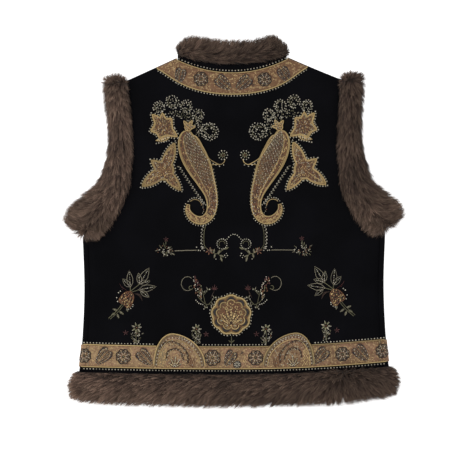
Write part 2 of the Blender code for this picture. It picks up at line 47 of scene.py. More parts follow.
class Value:  # a socket, so that sums on it read as sums
    def __init__(self, nodes, socket):
        self.nodes, self.socket = nodes, socket

    def maths(self, operation, *terms):
        return self.nodes.add("ShaderNodeMath", {"operation": operation}, dict(enumerate(terms)))

    def sine(self):
        return self.maths("SINE", self)

    def cosine(self):
        return self.maths("COSINE", self)

    def least(self, other):
        return self.maths("MINIMUM", self, other)

    def most(self, other):
        return self.maths("MAXIMUM", self, other)

    def clear(self, low, high):  # 0 up to low, 1 from high on
        return self.nodes.add("ShaderNodeMapRange", {"interpolation_type": "SMOOTHSTEP"},
                              {"Value": self, "From Min": low, "From Max": high})

    def out(self, name):
        return Value(self.nodes, self.socket.node.outputs[name])


for sign, operation in (("add", "ADD"), ("sub", "SUBTRACT"), ("mul", "MULTIPLY"), ("truediv", "DIVIDE"),
                        ("pow", "POWER")):
    setattr(Value, f"__{sign}__", lambda self, other, operation=operation: self.maths(operation, self, other))
    setattr(Value, f"__r{sign}__", lambda self, other, operation=operation: self.maths(operation, other, self))


class Nodes:
    def __init__(self, tree):
        self.tree = tree

    def add(self, kind, settings=None, values=None, out=0):
        node = self.tree.nodes.new(kind)
        for key, value in (settings or {}).items():
            setattr(node, key, value)
        for key, value in (values or {}).items():
            if isinstance(value, Value):
                self.tree.links.new(value.socket, node.inputs[key])
            else:
                node.inputs[key].default_value = value
        return Value(self, node.outputs[out]) if node.outputs else node

    def vector(self, operation, *terms):
        values = {(3 if operation == "SCALE" and i == 1 else i): term for i, term in enumerate(terms)}
        return self.add("ShaderNodeVectorMath", {"operation": operation}, values)

    def colour(self, share, low, high, blend="MIX"):
        low, high = ((*c, 1.0) if isinstance(c, tuple) else c for c in (low, high))
        return self.add("ShaderNodeMix", {"data_type": "RGBA", "blend_type": blend, "clamp_factor": True},
                        {0: share, 6: low, 7: high}, 2)

    def shaded(self, colour, shade, tint=(1, 1, 1)):  # a colour times a grey level: painted light and shade on the fur and cords, random tone on the embroidery
        grey = self.join(*(shade if part == 1 else shade * part for part in tint))
        return self.colour(1.0, colour, grey, "MULTIPLY")

    def attribute(self, name):
        return self.add("ShaderNodeAttribute", {"attribute_name": name}).out("Fac")

    def place(self):
        return self.add("ShaderNodeTexCoord").out("Object")

    def noise(self, place, scale, detail=2.0, rough=0.5):
        return self.add("ShaderNodeTexNoise", {}, {"Vector": place, "Scale": scale, "Detail": detail,
                                                   "Roughness": rough})

    def split(self, vector):
        return self.add("ShaderNodeSeparateXYZ", {}, {0: vector})

    def join(self, x, y, z):
        return self.add("ShaderNodeCombineXYZ", {}, {0: x, 1: y, 2: z})

    def bump(self, strength, distance, height):
        return self.add("ShaderNodeBump", {}, {"Strength": strength, "Distance": distance, "Height": height})

    def store(self, shape, name, value):
        return self.add("GeometryNodeStoreNamedAttribute", {"domain": "POINT", "data_type": "FLOAT"},
                        {"Geometry": shape, "Name": name, "Value": value})

    def named(self, name, kind="FLOAT"):
        return self.add("GeometryNodeInputNamedAttribute", {"data_type": kind}, {"Name": name}).out("Attribute")

def finish(name, build, **still):
    made = bpy.data.materials.new(name)
    made.use_nodes = True
    nodes = Nodes(made.node_tree)
    shader = made.node_tree.nodes["Principled BSDF"]
    for key, value in still.items():
        shader.inputs[key.replace("_", " ")].default_value = value
    for key, value in build(nodes).items():
        nodes.tree.links.new(value.socket, shader.inputs[key.replace("_", " ")])
    return made


def srgb(red, green, blue):  # from 0 to 255
    return tuple((c / 255 / 12.92) if c < 11 else ((c / 255 + 0.055) / 1.055) ** 2.4 for c in (red, green, blue))


# Shape: the cut of the garment and how it lies

cut = {
    "cloth": 0.0026, "innerGap": 0.0024,  # velvet with its interlining, and the air between the layers
    "edgeLift": 0.008, "armholeSlope": 0.100, "hemSlope": 0.085, "neckSlope": 0.090,  # lift by the fur, fading inwards
    "seam": 0.0003, "onCloth": 0.0005, "underFur": 0.0006, "curlLess": 0.0008,  # gaps between pieces
    "hemCentreY": -0.247, "hemRise": 0.004, "sideSeamIn": 0.009, "frontGap": 0.0010,
    "neckHalf": 0.088, "neckPointY": 0.263, "neckBackY": 0.243, "neckFrontY": 0.190,
    "tipHalf": 0.179, "tipY": 0.222, "underarmY": -0.013, "standHeight": 0.024,
    "band": 0.0010, "neckBandWidth": 0.034, "neckBandGap": 0.0008, "neckBandIn": 0.0012,
    "rightLift": 0.008, "neckShift": 0.003, "shiftFromY": 0.12, "boxCentreY": 0.0025,  # how uneven it lies
}
foldRadius = (2 * cut["cloth"] + cut["innerGap"]) / 2
curlRadius = foldRadius - cut["curlLess"]

sideLine = [(-0.251, 0.2495), (-0.190, 0.2435), (-0.106, 0.2400), (-0.022, 0.2420)]  # height, half the width

armholeLine = [  # height, half the width, and how far the fur reaches inside and outside the cut edge
    (-0.022, 0.242, 0.014, 0.031), (-0.008, 0.236, 0.021, 0.036), (0.010, 0.222, 0.024, 0.040),
    (0.028, 0.208, 0.024, 0.038), (0.046, 0.195, 0.022, 0.036), (0.068, 0.183, 0.018, 0.036),
    (0.090, 0.177, 0.014, 0.037), (0.118, 0.174, 0.012, 0.034), (0.158, 0.175, 0.012, 0.031),
    (0.198, 0.177, 0.012, 0.032), (0.222, 0.179, 0.012, 0.031),
]
collarLine = [(0.000, 0.013, 0.024), (0.050, 0.015, 0.023),  # from the middle, and how far the fur reaches
              (0.073, 0.017, 0.0185), (0.086, 0.018, 0.006)]


def smooth(t):
    t = max(0.0, min(1.0, t))
    return t * t * (3 - 2 * t)


def mix(a, b, t):
    return a + (b - a) * t


def along(table, column, at):  # a smooth curve through a table's rows, level past its ends
    keys, values = [row[0] for row in table], [row[column] for row in table]
    if at <= keys[0]:
        return values[0]
    if at >= keys[-1]:
        return values[-1]
    k = max(i for i in range(len(keys) - 1) if keys[i] <= at)

    def slope(i):
        low, high = max(i - 1, 0), min(i + 1, len(keys) - 1)
        return (values[high] - values[low]) / (keys[high] - keys[low])

    span = keys[k + 1] - keys[k]
    t = (at - keys[k]) / span
    rise, start, end = values[k + 1] - values[k], slope(k) * span, slope(k + 1) * span
    return values[k] + start * t + (3 * rise - 2 * start - end) * t**2 + (start + end - 2 * rise) * t**3


def lay(x, y):  # the cut is even, and the vest lies with its right side a little higher
    right = max(x, 0.0) / sideLine[-1][1]
    shift = cut["neckShift"] * smooth((y - cut["shiftFromY"]) / (cut["neckPointY"] - cut["shiftFromY"]))
    return x - shift, y + cut["rightLift"] * right**2 - cut["boxCentreY"]


def hemY(x):
    return cut["hemCentreY"] + cut["hemRise"] * (x / sideLine[0][1]) ** 2


def sideHalf(y):
    return along(sideLine, 1, y)


def armholeHalf(y):
    return 1.0 if y < armholeLine[0][0] else along(armholeLine, 1, y)


def backNeckY(x):
    return mix(cut["neckBackY"], cut["neckPointY"], (x / cut["neckHalf"]) ** 2)


def frontNeckY(x):
    return mix(cut["neckFrontY"], cut["neckPointY"], (x / cut["neckHalf"]) ** 2)


def shoulderY(x):
    return mix(cut["neckPointY"], cut["tipY"], (x - cut["neckHalf"]) / (cut["tipHalf"] - cut["neckHalf"]))


bandTop = 0.051  # above the cut edge of the hem
bandRows = [0.0, 0.005, 0.010, 0.015, 0.021, 0.027, 0.033, 0.039, 0.045, bandTop]
grid = {"inner": 12, "outer": 14, "rows": 40, "underarmRow": 18}  # twice as fine as the solids


def rowEdgeY(i, rows, underarmRow):
    start = hemY(sideLine[0][1]) + bandTop
    if i <= underarmRow:
        return mix(start, cut["underarmY"], i / underarmRow)
    return mix(cut["underarmY"], cut["tipY"], (i - underarmRow) / (rows - underarmRow))


def armholePath(side, rows, underarmRow):  # from the shoulder tip down to the underarm
    ys = [rowEdgeY(i, rows, underarmRow) for i in range(rows, underarmRow - 1, -1)]
    ys += [mix(cut["underarmY"], armholeLine[0][0], share) for share in (0.5, 1.0)]
    points = [Vector((armholeHalf(y), y)) for y in ys]
    path = []
    for i, point in enumerate(points):
        run = (points[min(i + 1, len(ys) - 1)] - points[max(i - 1, 0)]).normalized()
        path.append((Vector((side * point.x, point.y)), Vector((side * -run.y, run.x))))
    return path


liftPoints = [place for place, _ in armholePath(1, 20, 9)]  # as coarse as the solids
edgePoints = [place for place, _ in armholePath(1, grid["rows"], grid["underarmRow"])]


def lift(x, y):  # how far the pressed fur holds the fronts off the floor
    away = min(math.hypot(abs(x) - p.x, y - p.y) for p in liftPoints)
    clear = smooth(away / cut["armholeSlope"]) * smooth((y - hemY(x)) / cut["hemSlope"])
    below = frontNeckY(min(abs(x), cut["neckHalf"])) - y
    clear *= smooth(math.hypot(max(below, 0.0), max(abs(x) - cut["neckHalf"], 0.0)) / cut["neckSlope"])
    return cut["edgeLift"] * (1 - clear)


def backTop(x, y):
    return lift(x, y) + 2 * foldRadius


def quads(rows, first=0):
    wide = len(rows[0])
    corners = [first + i * wide + j for i in range(len(rows) - 1) for j in range(wide - 1)]
    return [(c, c + 1, c + wide + 1, c + wide) for c in corners]


def joined(grids):
    points, faces = [], []
    for rows in grids:
        faces += quads(rows, len(points))
        points += [p for row in rows for p in row]
    return points, faces


def addMesh(name, points, faces, material=None, marks=None, laid=False, edges=()):
    mesh = bpy.data.meshes.new(name)
    mesh.from_pydata([p if laid else (*lay(p[0], p[1]), p[2]) for p in points], edges, faces)
    for mark, values in (marks or {}).items():
        vectors = isinstance(values[0], tuple)
        layer = mesh.attributes.new(mark, "FLOAT_VECTOR" if vectors else "FLOAT", "POINT")
        flat = [v for value in values for v in value] if vectors else values
        layer.data.foreach_set("vector" if vectors else "value", flat)
    if material:
        mesh.materials.append(material)
    made = bpy.data.objects.new(name, mesh)
    bpy.context.scene.collection.objects.link(made)
    return made


def faceOut(made, merge=True, outward=0):  # returns the area, each face counted by its mark "grow"
    shape = bmesh.new()
    shape.from_mesh(made.data)
    if merge:
        bmesh.ops.remove_doubles(shape, verts=shape.verts, dist=1e-6)
    bmesh.ops.recalc_face_normals(shape, faces=shape.faces)
    if sum(f.normal.z * f.calc_area() for f in shape.faces) * outward < 0:
        bmesh.ops.reverse_faces(shape, faces=shape.faces)
    grows = shape.verts.layers.float.get("grow")
    area = sum(f.calc_area() * sum(v[grows] for v in f.verts) / len(f.verts) for f in shape.faces) if grows else 0
    shape.to_mesh(made.data)
    shape.free()
    made.data.shade_smooth()
    return area


def wear(made, slot, *nodes):
    if nodes:
        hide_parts(*nodes)
    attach(made, "root")
    return made


def addCloth(name, grids, thickness, material, outward):
    made = addMesh(name, *joined(grids), material)
    faceOut(made, outward=outward)
    solidify = made.modifiers.new("thickness", "SOLIDIFY")
    solidify.thickness, solidify.offset, solidify.use_even_offset = thickness, -1.0, True
    return made


# Materials of the cloth

# the lighter bluish nap colour is the colour of the painted sheen on the pile
velvetLook = {"colour": srgb(12, 12, 14), "napAndSheen": srgb(24, 24, 29), "napScale": 900.0, "brushScale": 14.0}


def velvetNodes(nodes):
    place = nodes.place()
    brushedPileAndSheen = nodes.noise(place, velvetLook["brushScale"], 3.0).clear(0.35, 0.75)  # lighter patches of painted sheen where the pile is brushed, raised in the bump too
    napAndSheen = nodes.noise(place, velvetLook["napScale"], 2.0, 0.7)
    # painted sheen: the velvet lighter in brushed patches and in the speckle of the nap
    light = brushedPileAndSheen * 0.22 + napAndSheen.clear(0.45, 0.8) * 0.25
    return {"Base_Color": nodes.colour(light, velvetLook["colour"], velvetLook["napAndSheen"]),
            "Normal": nodes.bump(0.35, 0.0004, napAndSheen + brushedPileAndSheen * 0.6)}


velvet = finish("velvet", velvetNodes, Roughness=0.95, Specular_IOR_Level=0.02, Sheen_Weight=0.035,
                Sheen_Roughness=0.45, Sheen_Tint=(0.55, 0.6, 0.75, 1.0))

# the ground's left and right colours are painted light: lit on the left, in painted shade towards the right
ribbonLook = {"left": srgb(164, 134, 99), "right": srgb(126, 97, 69), "neck": srgb(108, 72, 44),
              "rose": srgb(158, 118, 94), "thread": srgb(92, 64, 46), "gilt": srgb(212, 184, 132),
              "threads": 1150.0 * 6.28}


def ribbonNodes(nodes):
    place = nodes.place()
    spot = nodes.split(place)
    # painted light: the ground lighter on the left and darker towards the right, away from the key lamp
    ground = nodes.colour(spot.out("X").clear(-0.25, 0.25), ribbonLook["left"], ribbonLook["right"])
    rose = nodes.noise(place, 34.0, 2.0, 0.5).clear(0.42, 0.62)
    blotch = nodes.noise(place, 120.0, 3.0, 0.6).clear(0.42, 0.70)
    fleck = nodes.noise(place, 330.0, 2.0, 0.6).clear(0.5, 0.68)
    warp, weft = ((spot.out(way) * ribbonLook["threads"]).sine() * 0.5 + 0.5 for way in "XY")
    rows = warp * weft
    for share, hue in ((rose * 0.55, "rose"), (spot.out("Y").clear(0.10, 0.20) * 0.72, "neck"),
                       (blotch * 0.42, "thread"), (fleck * 0.55, "gilt"), (rows * 0.25, "thread")):
        ground = nodes.colour(share, ground, ribbonLook[hue])
    return {"Base_Color": ground, "Roughness": 0.62 - fleck * 0.2,
            "Normal": nodes.bump(0.5, 0.0004, rows + fleck * 1.2)}


ribbon = finish("gold_ribbon", ribbonNodes, Specular_IOR_Level=0.35, Sheen_Weight=0.08, Sheen_Roughness=0.4)

goldLook = {"rust": srgb(110, 66, 38), "gold": srgb(158, 122, 76), "rim": srgb(190, 164, 112),
            "shade": srgb(54, 36, 24)}


def goldNodes(nodes):  # satin ground of the applique, couched all over
    place = nodes.place()
    cloud = nodes.noise(place, 42.0, 3.0, 0.6).clear(0.32, 0.68)
    grain = nodes.add("ShaderNodeTexVoronoi", {"feature": "F1"}, {"Vector": place, "Scale": 520.0})
    couched, rim = grain.clear(0.2, 0.62), nodes.attribute("rim").clear(0.86, 0.97)
    ground = nodes.colour(cloud, goldLook["rust"], goldLook["gold"])
    # painted shade: the dark shade colour laid in the hollows between the couching points, where the bump sinks
    ground = nodes.colour(couched * 0.75, ground, goldLook["shade"])
    return {"Base_Color": nodes.colour(rim * 0.7, ground, goldLook["rim"]), "Roughness": 0.6 - rim * 0.15,
            "Normal": nodes.bump(0.6, 0.0006, 1 - couched)}


goldCloth = finish("gold_applique", goldNodes, Specular_IOR_Level=0.4)


# Body: back, two fronts and the collar stand

def columnPoints(share, edgeOf, neckOf, firstX=0.0):
    topX = share * cut["tipHalf"]
    topY = neckOf(topX) if topX <= cut["neckHalf"] + 1e-9 else shoulderY(topX)
    bottomY, edgeBottom = hemY(share * sideLine[0][1]), hemY(sideLine[0][1])
    column = [(max(share * edgeOf(edgeBottom + above), firstX), bottomY + above) for above in bandRows]
    for i in range(1, grid["rows"] + 1):
        edgeY = rowEdgeY(i, grid["rows"], grid["underarmRow"])
        up = (edgeY - edgeBottom - bandTop) / (cut["tipY"] - edgeBottom - bandTop)
        column.append((max(share * edgeOf(edgeY), firstX), mix(bottomY + bandTop, topY, up)))
    return column


def shares():
    neck = cut["neckHalf"] / cut["tipHalf"]
    return ([neck * i / grid["inner"] for i in range(grid["inner"])]
            + [mix(neck, 1.0, i / grid["outer"]) for i in range(grid["outer"] + 1)])


def shoulderCurl(topRow, levelOf, bend):
    run = Vector((cut["tipHalf"] - cut["neckHalf"], cut["tipY"] - cut["neckPointY"])).normalized()
    turns = [math.pi / 2 * step / 6 for step in range(1, 7)]
    curl = [(math.sin(a) * curlRadius, (1 - math.cos(a)) * curlRadius) for a in turns]
    curl.append((curlRadius, foldRadius - cut["seam"] / 2))
    rows = [[(x, y, levelOf(x, y)) for x, y in topRow]]
    for outBy, downBy in curl:
        row = []
        for x, y in topRow:
            lean = -run.y * (cut["tipHalf"] - abs(x)) / (cut["tipHalf"] - cut["neckHalf"])
            out = Vector((math.copysign(lean, x), run.x)).normalized() * outBy
            row.append((x + out.x, y + out.y, levelOf(x, y) + bend * downBy))
        rows.append(row)
    return rows


def backGrids():
    def edge(y):
        return min(sideHalf(y) - cut["sideSeamIn"], armholeHalf(y)) - cut["seam"] / 2

    half = [columnPoints(share, edge, backNeckY) for share in shares()]
    across = [[(-x, y) for x, y in column] for column in reversed(half[1:])] + half
    rows = [[(*column[i], backTop(*column[i])) for column in across] for i in range(len(half[0]))]
    top = [column[-1] for column in across]
    reach = grid["outer"] + 1
    return [rows, shoulderCurl(top[:reach], backTop, -1), shoulderCurl(top[-reach:], backTop, -1)], rows


def underarmCutY(x):
    points = edgePoints[::-1]
    for low, high in zip(points, points[1:]):
        if high.x <= x:
            return mix(low.y, high.y, max(0.0, (low.x - x) / (low.x - high.x))) - cut["seam"]
    return points[-1].y


def frontGrids(side):
    def edge(y):
        return min(sideHalf(y) - foldRadius, armholeHalf(y) - cut["seam"] / 2)

    half = [columnPoints(s, edge, frontNeckY, cut["frontGap"] / 2) for s in shares()]
    rows = [[(side * c[i][0], c[i][1], lift(*c[i])) for c in half] for i in range(len(half[0]))]
    last = len(bandRows) - 1 + grid["underarmRow"]
    turns = [math.pi * step / 12 for step in range(1, 13)]
    past = [(foldRadius * math.sin(a), foldRadius * (1 - math.cos(a))) for a in turns]
    past.append((foldRadius - cut["sideSeamIn"] + cut["seam"] / 2, 2 * foldRadius))
    wrap = []
    for i in range(last + 1):
        edgeX, y = half[-1][i]
        level = lift(edgeX, y)
        row = [(side * edgeX, y, level)]
        for outBy, upBy in past:
            movedY = y + (underarmCutY(edgeX + outBy) - cut["underarmY"]) * (i / last) ** 2
            slant = sideHalf(movedY) - sideHalf(y)
            row.append((side * (edgeX + outBy + slant), movedY, level + upBy))
        wrap.append(row)
    top = [column[-1] for column in half[-grid["outer"] - 1:]]
    return [rows, wrap, shoulderCurl([(side * x, y) for x, y in top], lift, 1)], rows, wrap


sides = ((-1, "left"), (1, "right"))
backLayers, backRows = backGrids()
back = wear(addCloth("back_velvet", backLayers, cut["cloth"], velvet, 1), "velvet", "back_panel")
topLayers = [backRows]  # what lies uppermost, to sew on
frontParts = {}
for side, name in sides:
    layers, rows, wrap = frontGrids(side)
    front = addCloth(f"front_velvet_{name}", layers, cut["cloth"], velvet, -1)
    wear(front, "velvet", f"front_panel_{name}")
    frontParts[name] = (front, rows, wrap)
    topLayers.append(wrap)


standUps = [(-0.0014, 0.0005), (2 * cut["seam"], 0.0), (0.006, 0.0), (0.012, 0.0), (0.018, 0.0),  # up and under
            (cut["standHeight"], 0.0)]


def standGrid(neckOf, levelOf, xs):
    return [[(x, neckOf(x) + up, levelOf(x, neckOf(x) + up) - drop) for x in xs] for up, drop in standUps]


halfXs = [min(cut["neckHalf"] * i / 12, cut["neckHalf"] - 3 * cut["seam"]) for i in range(13)]
neckXs = [-x for x in reversed(halfXs[1:])] + halfXs
standRows = standGrid(backNeckY, backTop, neckXs)
stand = addCloth("collar_stand_velvet_back", [standRows], cut["cloth"], velvet, 1)
wear(stand, "velvet", "collar_stand_back")
topLayers.append(standRows)
for side, name in sides:
    xs = sorted(side * max(x, cut["frontGap"] / 2) for x in halfXs)
    made = addCloth(f"collar_stand_velvet_front_{name}", [standGrid(frontNeckY, lift, xs)], cut["cloth"], velvet, -1)
    wear(made, "velvet", f"collar_stand_front_{name}")
print("velvet cut and laid")


# Ribbons

def movedOut(rows, away):
    tall, wide = len(rows), len(rows[0])
    made = []
    for i in range(tall):
        row = []
        for j in range(wide):
            across = Vector(rows[i][min(j + 1, wide - 1)]) - Vector(rows[i][max(j - 1, 0)])
            up = Vector(rows[min(i + 1, tall - 1)][j]) - Vector(rows[max(i - 1, 0)][j])
            row.append(tuple(Vector(rows[i][j]) + across.cross(up).normalized() * away))
        made.append(row)
    return made


bandTurn = {"steps": 24, "rows": 10, "out": 0.0027, "down": 0.0012}  # out and down over the turned shoulder edge


def neckBandRows(neckOf, sidesOf, levelOf, outward, lowX=0.0):
    steps, count = bandTurn["steps"], bandTurn["rows"]
    slope = Vector((cut["tipHalf"] - cut["neckHalf"], cut["tipY"] - cut["neckPointY"])).normalized()
    half = []
    for i in range(steps + 1):
        x = mix(lowX, cut["neckHalf"] - 0.001, i / steps)
        ahead = Vector((0.002, neckOf(x + 0.001) - neckOf(x - 0.001))).normalized()
        down = Vector((ahead.y, -ahead.x)) if i else Vector((0, -1))
        down = down.lerp(slope, smooth(i / steps) ** 3).normalized()
        start = Vector((x, neckOf(x)))
        widths = [cut["neckBandIn"] + cut["neckBandWidth"] * k / count for k in range(count + 1)]
        half.append([(*(start + down * w), 0.0) for w in widths])
    out = Vector((-slope.y, slope.x)) * bandTurn["out"]
    half.append([(x + out.x, y + out.y, bandTurn["down"]) for x, y, _ in half[-1]])
    turned = [[(-x, y, drop) for x, y, drop in column] for column in reversed(half)]
    across = turned[:-1] + half if len(sidesOf) == 2 else (turned if sidesOf[0] < 0 else half)
    away = cut["neckBandGap"] + cut["band"]
    return [[(x, y, levelOf(x, y) + outward * (away - drop)) for x, y, drop in (c[k] for c in across)]
            for k in range(count + 1)]


underBand = slice(3, 10)  # the rows of cloth that the hem band covers
seen = 16  # columns of a front's band, from the side inwards, that show from above
hemRibbonRows = movedOut(backRows[underBand], cut["onCloth"] + cut["band"])
neckRibbonRows = neckBandRows(backNeckY, (-1, 1), backTop, 1)
hemRibbon = wear(addCloth("hem_ribbon_back", [hemRibbonRows], cut["band"], ribbon, 1), "tan_band", "hem_band_back")
neckRibbon = wear(addCloth("neck_ribbon_back", [neckRibbonRows], cut["band"], ribbon, 1), "tan_band", "neck_band_back")
topLayers += [hemRibbonRows, neckRibbonRows]
for side, name in sides:
    _, rows, wrap = frontParts[name]
    flat, turned = rows[underBand], wrap[underBand]
    outer = movedOut([low[:-1] + high for low, high in zip(flat, turned)], -side * (cut["onCloth"] + cut["band"]))
    hem = addCloth(f"hem_ribbon_front_{name}", [outer], cut["band"], ribbon, -1)
    topLayers.append([row[-seen:] for row in outer])
    neck = neckBandRows(frontNeckY, (side,), lift, -1, cut["frontGap"])
    neck = addCloth(f"neck_ribbon_front_{name}", [neck], cut["band"], ribbon, -1)
    wear(hem, "tan_band", f"hem_band_front_{name}")
    wear(neck, "tan_band", f"neck_band_front_{name}")
print("ribbons laid on")


# Applique

applique = {"thick": 0.0012, "puff": 0.0010}

paisleyLine = [  # centre line x, y and half the width: head, leaning body, waist, curled tail
    (0, 0.0715, 0.1480, 0.0035), (1, 0.0735, 0.1420, 0.0120), (2, 0.0725, 0.1310, 0.0172),
    (3, 0.0680, 0.1170, 0.0195), (4, 0.0610, 0.1020, 0.0200), (5, 0.0525, 0.0850, 0.0180),
    (6, 0.0440, 0.0660, 0.0135), (7, 0.0372, 0.0485, 0.0098), (8, 0.0350, 0.0320, 0.0078),
    (9, 0.0380, 0.0170, 0.0068), (10, 0.0470, 0.0075, 0.0062), (11, 0.0590, 0.0065, 0.0057),
    (12, 0.0690, 0.0130, 0.0047), (13, 0.0740, 0.0225, 0.0032), (14, 0.0730, 0.0310, 0.0018),
]
upperLeaf = {"centre": (0.1128, 0.1550), "waist": 0.0150,  # lobes: direction, reach, half angle
             "lobes": [(51, 0.027, 24), (88, 0.023, 20), (135, 0.020, 24), (214, 0.027, 26), (288, 0.019, 24),
                       (344, 0.021, 24)]}
lowerLeaf = {"centre": (0.1120, 0.0861), "waist": 0.0155,
             "lobes": [(38, 0.026, 26), (111, 0.048, 32), (230, 0.042, 30), (324, 0.044, 36)]}
calyx = {"centre": (0.0728, 0.1548), "waist": 0.0055,
         "lobes": [(57, 0.0126, 30), (121, 0.0133, 30), (174, 0.0116, 28)]}
medallion = {"centre": (-0.0045, -0.1453), "radius": 0.0290, "scallop": 0.0024, "scallops": 9}
dome = {"outer": 0.1285, "apex": 0.0985, "inner": 0.0460, "height": 0.0555}
bandFoot = 0.015  # lower edge of the hem band above the cut edge


def spineSections(side, per=4, across=8):
    line = []
    for i in range(per * (len(paisleyLine) - 1) + 1):
        x, y, half = (along(paisleyLine, column, i / per) for column in (1, 2, 3))
        line.append((Vector((side * x, y)), half))
    sections = []
    for i, (place, half) in enumerate(line):
        ahead = line[min(i + 1, len(line) - 1)][0] - line[max(i - 1, 0)][0]
        aside = Vector((-ahead.y, ahead.x)).normalized()
        sections.append([tuple(place + aside * half * (2 * k / across - 1)) for k in range(across + 1)])
    return sections


def lobedSections(leaf, side, spokes=108, rings=5):
    sections = []
    for i in range(spokes):
        angle = 360 * i / spokes
        reach = leaf["waist"]
        for direction, length, halfAngle in leaf["lobes"]:
            off = abs((angle - direction + 180) % 360 - 180) / halfAngle
            if off < 1:
                reach = max(reach, mix(leaf["waist"], length, (1 - off) ** 1.3))
        turn = Vector((math.cos(math.radians(angle)), math.sin(math.radians(angle))))
        ring = [Vector(leaf["centre"]) + turn * reach * (k / rings) for k in range(rings + 1)]
        sections.append([(side * p.x, p.y) for p in ring])
    return sections


def medallionSections():
    sections, spokes = [], 12 * medallion["scallops"]
    for i in range(spokes):
        angle = 2 * math.pi * i / spokes
        wave = abs(math.sin((angle + math.pi / 2) * medallion["scallops"] / 2))
        turn = Vector((math.cos(angle), math.sin(angle))) * (medallion["radius"] + medallion["scallop"] * wave)
        sections.append([tuple(Vector(medallion["centre"]) + turn * (k / 6)) for k in range(7)])
    return sections


def domeSections(side, spokes=54):
    sections = []
    for i in range(spokes + 1):
        angle = mix(-1.0, 1.0, i / spokes) * math.pi / 2
        turn = abs(math.sin(angle))
        x = mix(dome["apex"], dome["outer"] if angle < 0 else dome["inner"], turn if angle < 0 else turn**1.15)
        bottom = hemY(x) + bandFoot
        top = bottom + dome["height"] * max(math.cos(angle), 0.06) ** 0.9
        sections.append([(side * x, mix(bottom, top, k / 8)) for k in range(9)])
    return sections


def addPlate(name, sections, base, node, finished, closed=False):
    wide, count = len(sections[0]), len(sections)
    low, high, rims = [], [], []
    for section in sections:
        for j, (x, y) in enumerate(section):
            share = j / (wide - 1)
            edge = share if closed else abs(2 * share - 1)
            z = backTop(x, y) + base
            low.append((x, y, z))
            high.append((x, y, z + applique["thick"] + applique["puff"] * (1 - edge**2)))
            rims.append(edge)
    faces, shift = [], len(low)
    for i in range(count if closed else count - 1):
        k = (i + 1) % count
        for j in range(wide - 1):
            cell = (i * wide + j, i * wide + j + 1, k * wide + j + 1, k * wide + j)
            faces += [cell, tuple(v + shift for v in reversed(cell))]
        rim = (i * wide + wide - 1, k * wide + wide - 1)
        faces.append((*rim, rim[1] + shift, rim[0] + shift))
        if not closed:
            faces.append((k * wide, i * wide, i * wide + shift, k * wide + shift))
    if not closed:
        for i in (0, count - 1):
            for j in range(wide - 1):
                end = (i * wide + j, i * wide + j + 1)
                faces.append((*end, end[1] + shift, end[0] + shift))
    made = addMesh(name, low + high, faces, finished, {"rim": rims + rims})
    faceOut(made)
    topLayers.append([high[i * wide:(i + 1) * wide] for i in (*range(count), *((0,) if closed else ()))])
    return wear(made, "applique", node)


plates = {}
for side, name in sides:
    plates[f"paisley_{name}"] = spineSections(side)
    for part, leaf in (("upper_leaf", upperLeaf), ("lower_leaf", lowerLeaf), ("calyx", calyx)):
        plates[f"{part}_{name}"] = lobedSections(leaf, side)
    plates[f"dome_{name}"] = domeSections(side)
plates["medallion"] = medallionSections()
for name, sections in plates.items():
    closed = not name.startswith(("paisley", "dome"))
    base, finished = cut["onCloth"], goldCloth
    if name.startswith("dome"):  # cut from the ribbon, over the band
        base, finished = cut["onCloth"] * 2 + cut["band"], ribbon
    addPlate(f"{name}_gold", sections, base, name, finished, closed)
print("applique laid on")

topTree = BVHTree.FromPolygons(*joined(topLayers))


def topOf(x, y):
    hit = topTree.ray_cast(Vector((x, y, 1.0)), Vector((0, 0, -1)))[0]
    return None if hit is None else hit.z


# Fur

strand = {"Length": 0.0185, "Width": 0.00056, "Bend": 0.42, "Tuft": 0.0130, "Pull": 0.20, "Lock": 0.0042,
          "Lock Pull": 0.36, "Wander": 0.62, "Rise": 0.36}
# the right-side level sets how dark the fur is painted in shade on the right, away from the key lamp
furLook = {"root": srgb(28, 20, 16), "middle": srgb(92, 73, 63), "tip": srgb(156, 132, 115), "rightPaintedShade": 0.68,
           "skinDark": srgb(26, 20, 17), "skinLight": srgb(66, 53, 46), "tint": (1, 0.98, 0.955), "lowerRise": 0.2,
           "pile": {"hem": 0.018, "collar": 0.018, "armhole": 0.020},
           "under": {"inner": 0.003, "outer": 0.009, "top": 0.007},  # the skin below the pile
           "endRise": {True: 0.45, False: 0.5}, "foot": 0.0022, "leastWide": 0.002, "overCloth": 0.0012}


def furNodes(nodes):
    tip, tone, tuft = (nodes.attribute(mark) for mark in ("tip", "tone", "tuft"))
    place = nodes.place()
    spot = nodes.split(place)
    x, y = spot.out("X"), spot.out("Y")
    side, low = x.clear(-0.28, 0.16), 1 - y.clear(-0.26, -0.10)  # from left to right, and near the hem, for the painted light
    base = nodes.colour(tip.clear(0.0, 0.5), furLook["root"], furLook["middle"])
    base = nodes.colour(tip.clear(0.4, 1.0) * (0.15 + tone * 0.85), base, furLook["tip"])
    patch = nodes.noise(place, 22.0, 2.0).clear(0.3, 0.7)
    shade = (0.62 + tone * 0.5) * (0.62 + tuft * 0.72) * (0.78 + patch * 0.36)
    # painted light and shade: the fur darker towards the right, away from the key lamp, and lighter at the left of the
    # hem
    shade = shade * (1 - side * (1 - furLook["rightPaintedShade"])) * (1 + low * (0.19 - side * 0.24))
    underarm = (1 - y.clear(0.01, 0.09)) * (1 - low)  # painted shade on the left underarm, painted light on the right one
    collar, litFarLeft = y.clear(0.235, 0.262), 1 - x.clear(-0.26, -0.13)
    # more painted light at the far left of the hem, and the fur darker at the collar
    shade = shade * (0.95 + underarm * (side * 0.32 - 0.08) + litFarLeft * low * 0.17) * (1 - collar * 0.17)
    return {"Base_Color": nodes.shaded(base, shade, furLook["tint"])}


